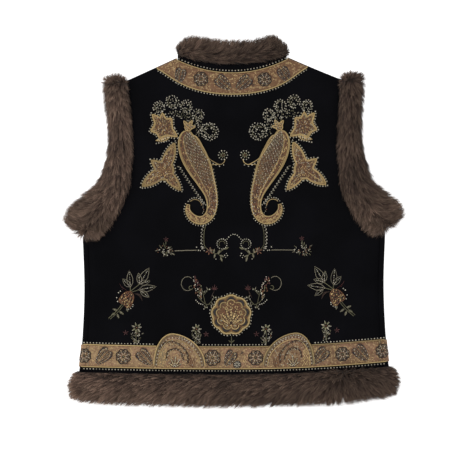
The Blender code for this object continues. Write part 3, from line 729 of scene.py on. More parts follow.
def underNodes(nodes):
    patch = nodes.noise(nodes.place(), 260.0, 3.0).clear(0.3, 0.75)
    return {"Base_Color": nodes.colour(patch, furLook["skinDark"], furLook["skinLight"]),
            "Normal": nodes.bump(0.8, 0.002, patch)}


fur = finish("fur_strands", furNodes, Roughness=0.7, Specular_IOR_Level=0.18, Sheen_Weight=0.1)
underFur = finish("fur_under", underNodes, Roughness=0.9, Specular_IOR_Level=0.1)


def newTree(name, inputs):
    tree = bpy.data.node_groups.new(name, "GeometryNodeTree")
    tree.interface.new_socket("Geometry", in_out="INPUT", socket_type="NodeSocketGeometry")
    tree.interface.new_socket("Geometry", in_out="OUTPUT", socket_type="NodeSocketGeometry")
    for label, kind in inputs:
        tree.interface.new_socket(label, in_out="INPUT", socket_type=kind)
    nodes = Nodes(tree)
    return nodes, nodes.add("NodeGroupInput")


def furTree():
    inputs = [(label, "NodeSocketFloat") for label in ("Density", *strand)]
    inputs += [("Seed", "NodeSocketInt"), ("Strands", "NodeSocketMaterial"), ("Skin", "NodeSocketMaterial")]
    nodes, start = newTree("fur", inputs)
    scattered = nodes.add("GeometryNodeDistributePointsOnFaces", {"distribute_method": "RANDOM"}, {
        "Mesh": start, "Density": start.out("Density") * nodes.named("grow"), "Seed": start.out("Seed")})
    normal, place = scattered.out("Normal"), nodes.add("GeometryNodeInputPosition")

    def plus(first, *others):
        for other in others:
            first = nodes.vector("ADD", first, other)
        return first

    def cells(size):
        return nodes.add("ShaderNodeTexVoronoi", {"feature": "F1"}, {"Vector": place, "Scale": 1 / size})

    def gathered(cell, size, pull):  # strands lean towards the middle of their tuft
        return nodes.vector("SCALE", nodes.vector("SUBTRACT", cell.out("Position"), place), pull / size)

    def chance(low, high, seed):
        return nodes.add("FunctionNodeRandomValue", {"data_type": "FLOAT"}, {2: low, 3: high, "Seed": seed}, 1)

    def placed(shape, position):
        return nodes.add("GeometryNodeSetPosition", {}, {"Geometry": shape, "Position": position})

    tufts, locks = cells(start.out("Tuft")), cells(start.out("Lock"))
    pulled = plus(gathered(tufts, start.out("Tuft"), start.out("Pull")),
                  gathered(locks, start.out("Lock"), start.out("Lock Pull")))
    drift = nodes.vector("SUBTRACT", nodes.noise(place, 20.0, 2.0).out("Color"), (0.5, 0.5, 0.5))
    drift = nodes.vector("SCALE", drift, start.out("Wander"))
    stray = nodes.add("FunctionNodeRandomValue", {"data_type": "FLOAT_VECTOR"},
                      {0: (-0.13, -0.13, -0.13), 1: (0.13, 0.13, 0.13), "Seed": 5})
    raised = plus(nodes.named("flow", "FLOAT_VECTOR"), nodes.vector("SCALE", normal, start.out("Rise")))
    lean = nodes.vector("NORMALIZE", plus(raised, pulled, plus(drift, stray)))
    turned = nodes.add("FunctionNodeAlignRotationToVector", {"axis": "Z"}, {"Vector": lean})
    turned = nodes.add("FunctionNodeAlignRotationToVector", {"axis": "X", "pivot_axis": "Z"},
                       {"Rotation": turned, "Vector": normal})
    tone = chance(0.0, 1.0, 9)
    points = nodes.store(nodes.store(scattered, "tuft", nodes.split(locks.out("Color"))), "tone", tone)
    # one strand: a flat blade four points long that tapers and droops
    blade = nodes.add("GeometryNodeMeshGrid", {}, {"Size X": 1.0, "Size Y": 1.0, "Vertices X": 2, "Vertices Y": 4})
    apart = nodes.split(nodes.add("GeometryNodeInputPosition"))
    up = apart.out("Y") + 0.5
    shaped = nodes.join(up * up * -1.0, apart.out("X") * (1 - up ** 1.6), up)
    blade = placed(nodes.store(blade, "tip", up), shaped)
    blade = nodes.add("GeometryNodeMergeByDistance", {}, {"Geometry": blade, "Distance": 0.001})
    longBy = start.out("Length") * chance(0.50, 1.12, 3) * nodes.named("reach")
    scale = nodes.join(longBy * start.out("Bend"), start.out("Width") * (0.5 + tone * tone * 2.0), longBy)
    grown = nodes.add("GeometryNodeInstanceOnPoints", {}, {"Points": points, "Instance": blade, "Rotation": turned,
                                                           "Scale": scale})
    grown = nodes.add("GeometryNodeRealizeInstances", {}, {"Geometry": grown})
    spot = nodes.split(nodes.add("GeometryNodeInputPosition"))
    pressed = spot.out("Z").least(spot.out("Z") * 0.5 + 0.0185)  # flatter above 37 mm
    grown = placed(grown, nodes.join(spot.out("X"), spot.out("Y"), pressed.most(0.0007)))
    both = nodes.add("GeometryNodeJoinGeometry")
    for shape, label in ((start, "Skin"), (grown, "Strands")):
        part = nodes.add("GeometryNodeSetMaterial", {}, {"Geometry": shape, "Material": start.out(label)})
        nodes.tree.links.new(part.socket, both.socket.node.inputs[0])
    both = nodes.add("GeometryNodeRemoveAttribute", {}, {"Geometry": both, "Name": "flow"})
    nodes.add("NodeGroupOutput", {}, {0: both})
    return nodes.tree


def grow(made, tree, values):  # runs a tree on a piece and keeps the result as a plain mesh
    modifier = made.modifiers.new("grown", "NODES")
    modifier.node_group = tree
    for item in tree.interface.items_tree:
        if item.in_out == "INPUT" and item.name in values:
            modifier[item.identifier] = values[item.name]
    depsgraph = bpy.context.evaluated_depsgraph_get()
    mesh = bpy.data.meshes.new_from_object(made.evaluated_get(depsgraph), preserve_all_data_layers=True,
                                           depsgraph=depsgraph)
    made.modifiers.clear()
    made.data = mesh
    return made


# sections of the fur's skin: share of the width, share of the height
upperProfile = [(0.92, 0.00), (1.00, 0.30), (0.985, 0.43), (0.97, 0.55), (0.92, 0.69), (0.84, 0.80), (0.73, 0.90),
                (0.60, 0.96), (0.48, 0.99), (0.36, 1.00), (0.25, 0.95), (0.15, 0.86), (0.08, 0.75), (0.03, 0.62)]
lowerProfile = [(0.0, 0.0), (0.3, 0.0), (0.6, 0.0), (0.90, 0.0), (1.0, 0.40), (0.97, 0.75), (0.88, 1.0)]


def furSection(inside, outside, pile, clothAt, upper, shrink):
    under = furLook["under"]
    middle = (outside - inside) / 2
    inner = mix(middle, -inside, shrink) + under["inner"] * shrink
    outer = mix(middle, outside, shrink) - under["outer"] * min(shrink + 0.3, 1.0)
    outer = max(outer, inner + furLook["leastWide"])
    notch = max(min(0.0, outer - 0.0008), inner + 0.0004)
    floorTop = cut["edgeLift"] + cut["cloth"] + cut["innerGap"] / 2
    rise = mix(furLook["endRise"][upper], 1.0, shrink)
    if upper:
        floor = floorTop + cut["seam"]
        crest = clothAt(0.0) + pile - under["top"]
        lying = [(d, clothAt(d) + cut["underFur"], 0.0) for d in (inner, (inner + notch) / 2, notch)]
        over = [(mix(inner, outer, s), mix(floor, crest, up * rise), 1.0 if up else 0.0) for s, up in upperProfile]
        over[-1] = (over[-1][0], max(over[-1][1], clothAt(over[-1][0]) + furLook["overCloth"]), 1.0)
        return [*lying, (notch + cut["seam"], floor, 0.0), *over]
    top = floorTop * rise
    lying = [(d, (clothAt(d) - cut["underFur"]) * rise, 0.0) for d in (notch, (inner + notch) / 2, inner)]
    below = [(mix(inner, outer, s), mix(furLook["foot"], top, up), 1.0) for s, up in lowerProfile]
    return [*below, (notch + cut["seam"], top, 0.0), *lying]


def roundedEnd(last, run, reach, steps, square=1.0):
    turns = [math.pi / 2 * i / (steps + 0.35) for i in range(1, steps + 1)]
    return [{**last, "place": last["place"] + run * reach * math.sin(a), "shrink": math.cos(a) ** square}
            for a in turns]


def withRoundEnds(stations, past, steps):
    ends = []
    for end, inner in ((stations[0], stations[1]), (stations[-1], stations[-2])):
        run = (end["place"] - inner["place"]).normalized()
        ends.append(roundedEnd(end, run, past, steps) if abs(end["place"].x) > 0.05 else [])
    return [*reversed(ends[0]), *stations, *ends[1]]


def station(x, y, out, inside, outside, short):  # where a section of the fur stands, and how far it reaches
    return {"place": Vector((x, y)), "out": out, "inside": inside, "outside": outside, "shrink": 1.0, "short": short}


def armholeStations(side):
    stations = []
    for place, out in armholePath(side, grid["rows"], grid["underarmRow"])[:-2]:  # not past the underarm
        over = 0.004 * smooth((place.y - 0.05) / 0.04) * max(side, 0)  # the right one lies further out
        inBy, outBy = along(armholeLine, 2, place.y) - over, along(armholeLine, 3, place.y) + over
        stations.append(station(*place, out, inBy, outBy, mix(1.0, 0.72, smooth((place.y - 0.165) / 0.05))))
    up = (stations[0]["place"] - stations[1]["place"]).normalized()
    down = (stations[-1]["place"] - stations[-2]["place"]).normalized()
    return [*reversed(roundedEnd(stations[0], up, 0.011, 6, 0.5)), *stations, *roundedEnd(stations[-1], down, 0.003, 6)]


def hemStations(startX, endX, steps):
    xs = [mix(startX, endX, i / steps) for i in range(steps + 1)]
    stations = [station(x, hemY(x) - cut["seam"], Vector((0, -1)), 0.010,
                        0.045 * mix(1.0, 0.93, abs(x) / sideLine[0][1]),
                        mix(1.0, 0.7, smooth((abs(x) - 0.225) / 0.03))) for x in xs]
    return withRoundEnds(stations, 0.009, 6)


def collarStations(xs, neckOf):
    return [station(x, neckOf(x) + cut["standHeight"] + 2 * cut["seam"], Vector((0, 1)), along(collarLine, 1, abs(x)),
                    along(collarLine, 2, abs(x)) - 0.003 * smooth((abs(x) - 0.076) / 0.010),
                    mix(0.85, 0.52, smooth((abs(x) - 0.06) / 0.026))) for x in xs]


def armholeFlow(place, share, side, out):  # down its length, parting to both edges, more so at the underarm
    run = Vector((-out.y, out.x)) * side
    run = run if run.y < 0 else -run
    low, end = smooth((0.075 - place.y) / 0.085), smooth((0.022 - place.y) / 0.040)
    top, past = smooth((place.y - 0.160) / 0.060), smooth((place.y - 0.221) / 0.010)
    part = mix((share - mix(0.55, 0.42, low)) * mix(1.0, 2.1, low), mix(-0.22, 0.55, share), top)
    return run * mix(mix(mix(0.95, 0.50, low), 0.05, end) * (1 - 0.45 * top), -0.5, past) + out * part


def hemFlow(place, share, *_):  # swept to the left along the band, falling steeper to the lower edge
    x = place.x / 0.25
    sweep = mix(mix(-1.15, -0.62, share), 0.75, smooth((x - 0.35) / 0.65)) - 0.5 * smooth((-x - 0.8) / 0.25)
    return Vector((sweep, -mix(0.16, 0.80, share)))


def collarFlow(place, share, *_):  # along the stand at its lower edge, up at the top, out at the ends
    x = place.x / 0.085
    return Vector((mix(0.85, 0.25, share) + mix(0.42, -0.50, x > 0) * x * abs(x) ** 1.5, mix(-0.10, 0.62, share)))


def addFur(trim, part, stations, flowOf, side, triangles, seed):
    upper = part.startswith("back")
    level = backTop if upper else lift
    points, flows, grows, reaches = [], [], [], []
    for at in stations:
        place, out = at["place"], at["out"]

        def clothAt(distance):
            return level(*(place + out * distance))

        section = furSection(at["inside"], at["outside"], furLook["pile"][trim], clothAt, upper, at["shrink"])
        low, high = min(d for d, _, _ in section), max(d for d, _, _ in section)
        for d, z, growsHere in section:
            share = (d - low) / max(high - low, 1e-6)
            flow = flowOf(place, share, side, out)
            points.append((place.x + out.x * d, place.y + out.y * d, z))
            flows.append((flow.x, flow.y, 0.0))
            grows.append(growsHere)
            reaches.append(mix(0.62, 1.0, smooth(share / 0.35)) * at["short"])
    wide, faces = len(section), []
    for i in range(len(stations) - 1):
        for j in range(wide):
            k = (j + 1) % wide
            faces.append((i * wide + j, i * wide + k, (i + 1) * wide + k, (i + 1) * wide + j))
    faces += [tuple(range(wide)), tuple(range(len(points) - wide, len(points)))]
    made = addMesh(f"{trim}_fur_strands_{part}", points, faces, None, {"flow": flows, "grow": grows, "reach": reaches})
    area = faceOut(made, merge=False)
    values = {**strand, "Density": triangles / 5 / area, "Seed": seed, "Strands": fur, "Skin": underFur}
    if not upper:
        values["Rise"] = furLook["lowerRise"]
    return wear(grow(made, furNodeTree, values), "fur", f"{trim}_fur_{part}")


furNodeTree = furTree()
addFur("hem", "back", hemStations(-0.249, 0.249, 60), hemFlow, 0, 170000, 1)
addFur("collar", "back", collarStations(neckXs, backNeckY), collarFlow, 0, 60000, 2)
for side, name in sides:
    armhole, hem = armholeStations(side), hemStations(side * cut["frontGap"] * 3, side * 0.249, 30)
    collar = collarStations([side * max(x, cut["frontGap"] * 2) for x in halfXs], frontNeckY)
    addFur("armhole", f"back_{name}", armhole, armholeFlow, side, 105000, 3 + side)
    addFur("armhole", f"front_{name}", armhole, armholeFlow, side, 36000, 7 + side)
    addFur("hem", f"front_{name}", hem, hemFlow, side, 40000, 11 + side)
    addFur("collar", f"front_{name}", collar, collarFlow, side, 16000, 15 + side)
print("fur grown")


# Embroidery: beads, stitches and couched cords, all in the even lay

palette = {"silver": srgb(196, 190, 172), "gold": srgb(208, 180, 124), "copper": srgb(124, 82, 54),
           "brown": srgb(66, 44, 32), "olive": srgb(120, 116, 86), "red": srgb(84, 40, 38),
           "pale": srgb(158, 150, 128), "dark": srgb(24, 17, 21)}
hueAt = {name: i for i, name in enumerate(palette)}
sewn = {"bead": [], "stitch": []}
cords = []
moved = {"x": 0.0}  # how far a motif on the right is set from its mirror place
beadSize, beadSpread = 0.00115, 0.12
stitchThick = 0.0007
sunk = {"bead": 0.45, "stitch": 0.35, "cord": 0.6}  # height of the middle over the cloth, as a share of the size


def bead(at, size=beadSize, hue="silver"):
    x, y = at[0] + moved["x"], at[1]
    top, wobble = topOf(x, y), 1 + luck.uniform(-beadSpread, beadSpread)
    if top is not None:
        size, middle = size * wobble, top + size * sunk["bead"]
        sewn["bead"].append((*lay(x, y), middle, size, size, size * 0.9, 0.0, hueAt[hue], luck.random()))


def beads(places, size=beadSize):
    for at in places:
        bead(at, size)


def stitch(start, end, wide=0.0011, hue="gold"):
    x0, x1, y0, y1 = start[0] + moved["x"], end[0] + moved["x"], start[1], end[1]
    top = topOf((x0 + x1) / 2, (y0 + y1) / 2)
    if None in (top, topOf(x0, y0), topOf(x1, y1)):
        return
    (ax, ay), (bx, by) = lay(x0, y0), lay(x1, y1)
    sewn["stitch"].append(((ax + bx) / 2, (ay + by) / 2, top + stitchThick * sunk["stitch"],
                           math.hypot(bx - ax, by - ay) / 2, wide / 2, stitchThick, math.atan2(by - ay, bx - ax),
                           hueAt[hue], luck.random()))


def cord(points, thick=0.0006, hue="gold", closed=False):
    points = [(x + moved["x"], y) for x, y in points]
    line = [(*lay(x, y), topOf(x, y) + thick * sunk["cord"]) for x, y in points if topOf(x, y) is not None]
    if len(line) > 1:
        cords.append((line + ([line[0]] if closed else []), thick, hueAt[hue]))


def polar(x, y, angle, far):
    return x + math.cos(angle) * far, y + math.sin(angle) * far


def arc(cx, cy, radius, start, end, steps=14, squash=1.0):
    turns = [math.radians(mix(start, end, i / steps)) for i in range(steps + 1)]
    return [(cx + radius * math.cos(a), cy + radius * squash * math.sin(a)) for a in turns]


def curve(points, steps=6):  # a smooth line through points
    table = [(i, x, y) for i, (x, y) in enumerate(points)]
    count = (len(points) - 1) * steps
    return [(along(table, 1, i / steps), along(table, 2, i / steps)) for i in range(count + 1)]


def evenly(points, pitch, closed=False):  # places a pitch apart, each with its direction
    line = [Vector(p) for p in points] + ([Vector(points[0])] if closed else [])
    total = sum((b - a).length for a, b in zip(line, line[1:]))
    count = max(1, round(total / pitch))
    places, gone, want = [], 0.0, 0.0
    for a, b in zip(line, line[1:]):
        length = (b - a).length
        while want <= gone + length + 1e-9 and len(places) < count + (0 if closed else 1):
            places.append((a.lerp(b, (want - gone) / length if length else 0), (b - a).normalized()))
            want += total / count
        gone += length
    return places


def leftOf(ahead):
    return Vector((-ahead.y, ahead.x))


def beadRow(points, pitch=0.0043, closed=False, away=0.0, size=beadSize, hues=("silver",)):
    for i, (place, ahead) in enumerate(evenly(points, pitch, closed)):
        bead(place + leftOf(ahead) * away, size, hues[i % len(hues)])


def mirrored(points, side):
    return [(side * x, y) for x, y in points]


def vine(side, points, thick, hue):  # a smooth cord on one side
    cord(mirrored(curve(points), side), thick, hue)


def comb(points, side, length=0.0045, pitch=0.0052, away=0.004, slant=0.7):  # slanted pairs beside an edge
    for place, ahead in evenly(points, pitch):
        aside = leftOf(ahead) * side
        start = place + aside * away
        end = start + (aside + ahead * slant).normalized() * length
        stitch(start, end, 0.0013, "pale")
        bead(end + ahead * 0.0022)


def fringe(place, out, near, far, wide, beadOut, size):  # a short stitch and a bead beyond it
    bead(place + out * beadOut, size)
    stitch(place + out * near, place + out * far, wide, "gold")


def flower(x, y, radius, petals, hue, heart, wide, turn=0.0):
    for i in range(petals):
        angle = 2 * math.pi * i / petals + turn
        stitch(polar(x, y, angle, radius * 0.25), polar(x, y, angle, radius), wide, hue)
    bead((x, y), beadSize, heart)


def star(x, y, radius, hue="red"):
    for i in range(5):
        stitch((x, y), polar(x, y, 2 * math.pi * i / 5 + 0.4, radius), 0.0012, hue)


def leaflet(x, y, direction, length, half, side=1, hue="gold", thick=0.0005, fill=None, beads=None):
    turn = math.radians(direction)
    ahead, base = Vector((math.cos(turn) * side, math.sin(turn))), Vector((side * x, y))
    aside = leftOf(ahead)

    def at(t, way):  # from base to tip, and from edge to edge
        return base + ahead * length * t + aside * half * way * math.sin(math.pi * t ** 0.8)

    if hue:
        cord([at(t, 1) for t in (0, 0.25, 0.5, 0.75, 1)] + [at(t, -1) for t in (0.75, 0.5, 0.25)], thick, hue, True)
    if fill:
        for i in range(1, 7):
            stitch(at(i / 7, 0.8), at(i / 7 + 0.08, -0.8), length / 8, fill)
    if beads:
        beadRow([at(0.15, 0), at(0.88, 0)], 0.0027, size=0.0009, hues=beads)


def fan(x, y, direction, length, half, spread, count, side=1, **look):  # leaflets spread from one base
    for i in range(count):
        off = 2 * i / (count - 1) - 1
        leaflet(x, y, direction + off * spread, length * (1 - 0.32 * abs(off)), half, side, **look)


def inside(x, y, outline):
    found = False
    for (ax, ay), (bx, by) in zip(outline, outline[1:] + outline[:1]):
        if (ay > y) != (by > y) and x < (bx - ax) * (y - ay) / (by - ay) + ax:
            found = not found
    return found


def strew(outline, pitch, work, loose=0.25):  # calls work at loosely even places inside an outline
    xs, ys = [p[0] for p in outline], [p[1] for p in outline]
    row, y = 0, min(ys)
    while y < max(ys):
        x = min(xs) + (pitch / 2 if row % 2 else 0)
        while x < max(xs):
            px, py = x + luck.uniform(-loose, loose) * pitch, y + luck.uniform(-loose, loose) * pitch
            if inside(px, py, outline):
                work(px, py)
            x += pitch
        y += pitch * 0.87
        row += 1


def dash(x, y, angle, long, wide, hue):  # one short stitch about its middle
    stitch(polar(x, y, angle, -long / 2), polar(x, y, angle, long / 2), wide, hue)


def drawnIn(outline, share):
    cx, cy = sum(p[0] for p in outline) / len(outline), sum(p[1] for p in outline) / len(outline)
    return [(mix(cx, x, share), mix(cy, y, share)) for x, y in outline]


def pick(chance, *steps):  # the hue of the first step that a chance lies under
    return next(hue for limit, hue in steps if chance < limit)


# Paisleys, leaves and their beads

tailFrom, headTo = 37, 24  # sections of the paisley where its tail begins and its head ends


def sewPaisley(side, body):
    left, right = [Vector(s[0]) for s in body], [Vector(s[-1]) for s in body]
    for share, thick in ((0.985, 0.0009), (0.88, 0.0005)):
        wide = [l.lerp(r, (1 + share) / 2) for l, r in zip(left, right)]
        thin = [l.lerp(r, (1 - share) / 2) for l, r in zip(left, right)]
        cord(wide + thin[::-1], thick, "gold", True)
    cord([l.lerp(r, 0.5 + 0.23 * side) for l, r in zip(left[4:34], right[4:34])])
    for step in range(2, 2 * len(left) - 6):  # satin strip down the outer side, beads over the head, satin tail
        i, part = step // 2, step % 2 / 2
        l, r = left[i].lerp(left[i + 1], part), right[i].lerp(right[i + 1], part)
        ahead = (left[i + 1] + right[i + 1] - left[i] - right[i]).normalized()
        angle = math.atan2(ahead.y, ahead.x)
        count = max(2, round((r - l).length * 0.8 / 0.0021))
        for j in range(count):
            at, chance = l.lerp(r, 0.1 + 0.8 * (j + (0.3 if step % 2 else 0.7)) / count), luck.random()
            outer = (at - (l if side < 0 else r)).length / (r - l).length < 0.25
            if outer or headTo < i < tailFrom:
                dash(*at, angle, 0.0034, 0.0014, pick(chance, (0.58, "copper"), (0.76, "gold"), (1, "brown")))
                if not outer and chance < 0.16:
                    bead(at, 0.0008)
            elif i >= tailFrom:
                dash(*at, angle + 1.2, 0.0026, 0.0013, pick(chance, (0.7, "gold"), (1, "copper")))
            elif (step + 2 * j) % 3 == 0:
                bead(at, 0.0009, pick(chance, (0.45, "silver"), (1, "pale")))
            else:
                dash(*at, angle + 0.5, 0.0022, 0.0014, pick(chance, (0.5, "brown"), (0.8, "olive"), (1, "copper")))


def sewLeaf(side, part, section):
    leafLine, middle = [s[-1] for s in section], Vector(section[0][0])
    cord(leafLine, 0.0008, "gold", True)
    gilt = 0.94 if part == "upper_leaf" else 0.80  # the lower leaf is the lighter one

    def leafWork(x, y):
        chance, angle = luck.random(), math.atan2(y - middle.y, x - middle.x)
        if part == "calyx":
            dash(x, y, angle, 0.0026, 0.0012, pick(chance, (0.6, "gold"), (1, "pale")))
        elif chance < 0.20:
            bead((x, y), 0.0009, pick(chance, (0.12, "pale"), (1, "silver")))
        else:
            dash(x, y, angle, 0.0030, 0.0013, pick(chance, (0.66, "copper"), (gilt, "brown"), (1, "gold")))

    strew(drawnIn(leafLine, 0.86), 0.0023, leafWork)
    if part == "calyx":
        return
    cord(drawnIn(leafLine, 0.88), 0.0005, "gold", True)
    beadRow(leafLine, 0.0042, True, -0.0028 * side)
    beadRow(leafLine, 0.0042, True, -0.0013 * side, 0.0007, ("gold",))
    for direction, reach, _ in (upperLeaf if part == "upper_leaf" else lowerLeaf)["lobes"]:
        vein = Vector((side * math.cos(math.radians(direction)), math.sin(math.radians(direction))))
        cord([middle.lerp(middle + vein * reach, t) for t in (0.1, 0.5, 0.86)], 0.0004, "gold")
        bead(middle + vein * (reach + 0.0025))


def sewTendrils(side, body):
    # small sepal between the two leaves
    leaflet(0.1025, 0.1393, -14, 0.0235, 0.0038, side, "gold", 0.0006, "gold")
    beadRow(mirrored([(0.1040, 0.1335), (0.1245, 0.1290)], side), 0.0045)
    # line from the head to the beak, its tendril and beaded flower
    beak = mirrored(curve([(0.0715, 0.1480), (0.0576, 0.1297), (0.0496, 0.1169), (0.0400, 0.1050),
                           (0.0300, 0.0985), (0.0227, 0.0955), (0.0165, 0.0985), (0.0142, 0.1040)]), side)
    cord(beak, 0.0007, "gold")
    vine(side, [(0.0374, 0.0945), (0.0310, 0.0955), (0.0227, 0.0955)], 0.0006, "gold")
    beadRow(beak[6:-8], 0.0050, False, 0.0028 * side)
    flower(side * 0.0176, 0.1105, 0.0052, 7, "olive", "copper", 0.0018)
    beads(mirrored(arc(0.0176, 0.1105, 0.0072, 0, 324, 9), side))
    # combs beside the body, beads round the tail
    comb(mirrored([(0.0905, 0.0925), (0.0770, 0.0720), (0.0610, 0.0480), (0.0500, 0.0330)], side), -side,
         away=-0.001, pitch=0.0050)
    comb(mirrored([(0.0310, 0.0890), (0.0275, 0.0720), (0.0240, 0.0520), (0.0235, 0.0330), (0.0270, 0.0160)], side),
         side, away=0.001, pitch=0.0054)
    tails = [[Vector(section[end]) for section in body[tailFrom:]] for end in (0, -1)]
    rim = max(tails, key=lambda line: sum((b - a).length for a, b in zip(line, line[1:])))
    for place, _ in evenly(rim, 0.0037):
        fringe(place, (place - Vector((side * 0.056, 0.024))).normalized(), 0.0006, 0.0026, 0.0009, 0.0030, 0.0010)
    cord(mirrored(arc(0.0625, 0.0290, 0.0105, 175, 40, 12), side), 0.0005, "gold")
    beadRow(mirrored(arc(0.0625, 0.0290, 0.0132, 165, 35, 12), side), 0.0038, size=0.0010)
    for i in range(9):
        x = side * (0.0505 + luck.uniform(-0.003, 0.003))
        bead((x, 0.0400 - i * 0.0028), 0.0010, "pale" if i % 3 else "copper")


def sewPlume(side):  # crowded beads round dark gaps, olive threads between them
    for x, y, radius in ((0.1186, 0.1873, 0.0092), (0.0976, 0.1953, 0.0104), (0.0754, 0.1889, 0.0100),
                         (0.0566, 0.1745, 0.0092), (0.0390, 0.1480, 0.0140)):

        def lobeWork(px, py):
            if math.hypot(abs(px) - x, py - y) > radius * 0.22:
                bead((px, py), 0.0010, luck.choice(("silver", "silver", "pale")))

        strew(mirrored(arc(x, y, radius, 0, 345, 23), side), 0.0039, lobeWork, 0.4)
        for place, _ in evenly(mirrored(arc(x, y, radius, -30, 285, 20), side), 0.0043):
            bead((place.x + luck.uniform(-0.0008, 0.0008), place.y + luck.uniform(-0.0008, 0.0008)), 0.0010)
        start = luck.uniform(0, 360)
        cord(mirrored(arc(x, y, radius * 0.66, start, start + 200, 14), side), 0.0004, "olive")
        for i in range(5):
            angle = luck.uniform(0, 6.28)
            px, py = polar(x, y, angle, radius * 0.7)
            dash(side * px, py, angle, 0.0034, 0.0010, "olive" if i % 2 else "pale")

    def plumeWork(x, y):
        chance = luck.random()
        if chance < 0.6:
            bead((x, y), 0.0010, pick(chance, (0.35, "silver"), (1, "pale")))
        else:
            dash(x, y, luck.uniform(0, 3.14), 0.0030, 0.0009, "olive")

    filler = [(0.1080, 0.1790), (0.0880, 0.1830), (0.0660, 0.1790), (0.0500, 0.1630), (0.0440, 0.1380),
              (0.0600, 0.1420), (0.0640, 0.1600), (0.0820, 0.1680), (0.1000, 0.1740)]
    strew(mirrored(filler, side), 0.0036, plumeWork, 0.45)


def sewStem(side):  # under the tail: star, leaf sprig, bead circle and arc
    stem = mirrored(curve([(0.0448, 0.0000), (0.0478, -0.0130), (0.0482, -0.0260), (0.0472, -0.0350),
                           (0.0400, -0.0430)]), side)
    cord(stem, 0.00055, "olive")
    comb(stem[:-5], side, 0.0038, 0.0056, 0.0014, 0.8)
    flower(side * 0.0392, -0.0431, 0.0070, 6, "copper", "red", 0.0016, 0.3)
    star(side * 0.0392, -0.0431, 0.0048)
    twig = [(0.0392, -0.0431), (0.0310, -0.0470), (0.0250, -0.0480), (0.0200, -0.0550)]
    vine(side, twig, 0.0005, "olive")
    for x, y, direction in ((0.0360, -0.0450, 70), (0.0330, -0.0468, 105), (0.0300, -0.0475, 285),
                            (0.0260, -0.0478, 120), (0.0230, -0.0500, 200), (0.0215, -0.0530, 250)):
        leaflet(x, y, direction, 0.0075, 0.0013, side, "olive", 0.0004, "pale")
    vine(side, [(0.0250, -0.0480), (0.0190, -0.0420), (0.0120, -0.0385)], 0.0005, "olive")
    leaflet(0.0150, -0.0402, 155, 0.0070, 0.0012, side, "olive", 0.0004, "olive")
    beads(mirrored(arc(0.0192, -0.0319, 0.0080, -60, 270, 14), side), 0.00105)
    cord(mirrored(arc(0.0192, -0.0319, 0.0048, -40, 180, 10), side), 0.00045, "olive")
    beads(mirrored([(0.0120, -0.0470), (0.0150, -0.0500), (0.0105, -0.0505), (0.0135, -0.0535), (0.0290, -0.0560)],
                   side), 0.00105)
    beadRow(mirrored(curve([(0.0110, -0.0240), (0.0060, -0.0185), (0.0015, -0.0165)]), side), 0.0046, size=0.0011)
    # straight thread with the small sprig at its outer end
    cord(mirrored([(0.0600, -0.0420), (0.0780, -0.0422), (0.0950, -0.0430)], side), 0.0006, "pale")
    beads(mirrored([(0.0600, -0.0370), (0.0570, -0.0420), (0.0540, -0.0425), (0.0510, -0.0395), (0.0500, -0.0370)],
                   side), 0.0012)
    for i in range(52):
        angle, far = luck.uniform(0, 6.28), luck.uniform(0.002, 0.011)
        x, y = 0.1100 + math.cos(angle) * far * 1.25, -0.0425 + math.sin(angle) * far * 0.8
        if i % 2:
            fill = "pale" if i % 4 == 1 else "olive"
            leaflet(x, y, math.degrees(angle), 0.0052, 0.0010, side, None, fill=fill)
        else:
            bead((side * x, y), 0.0009, "silver" if i % 6 else "copper")
    star(side * 0.1088, -0.0245, 0.0046)
    stitch((side * 0.1088, -0.0260), (side * 0.1095, -0.0350), 0.0009, "olive")


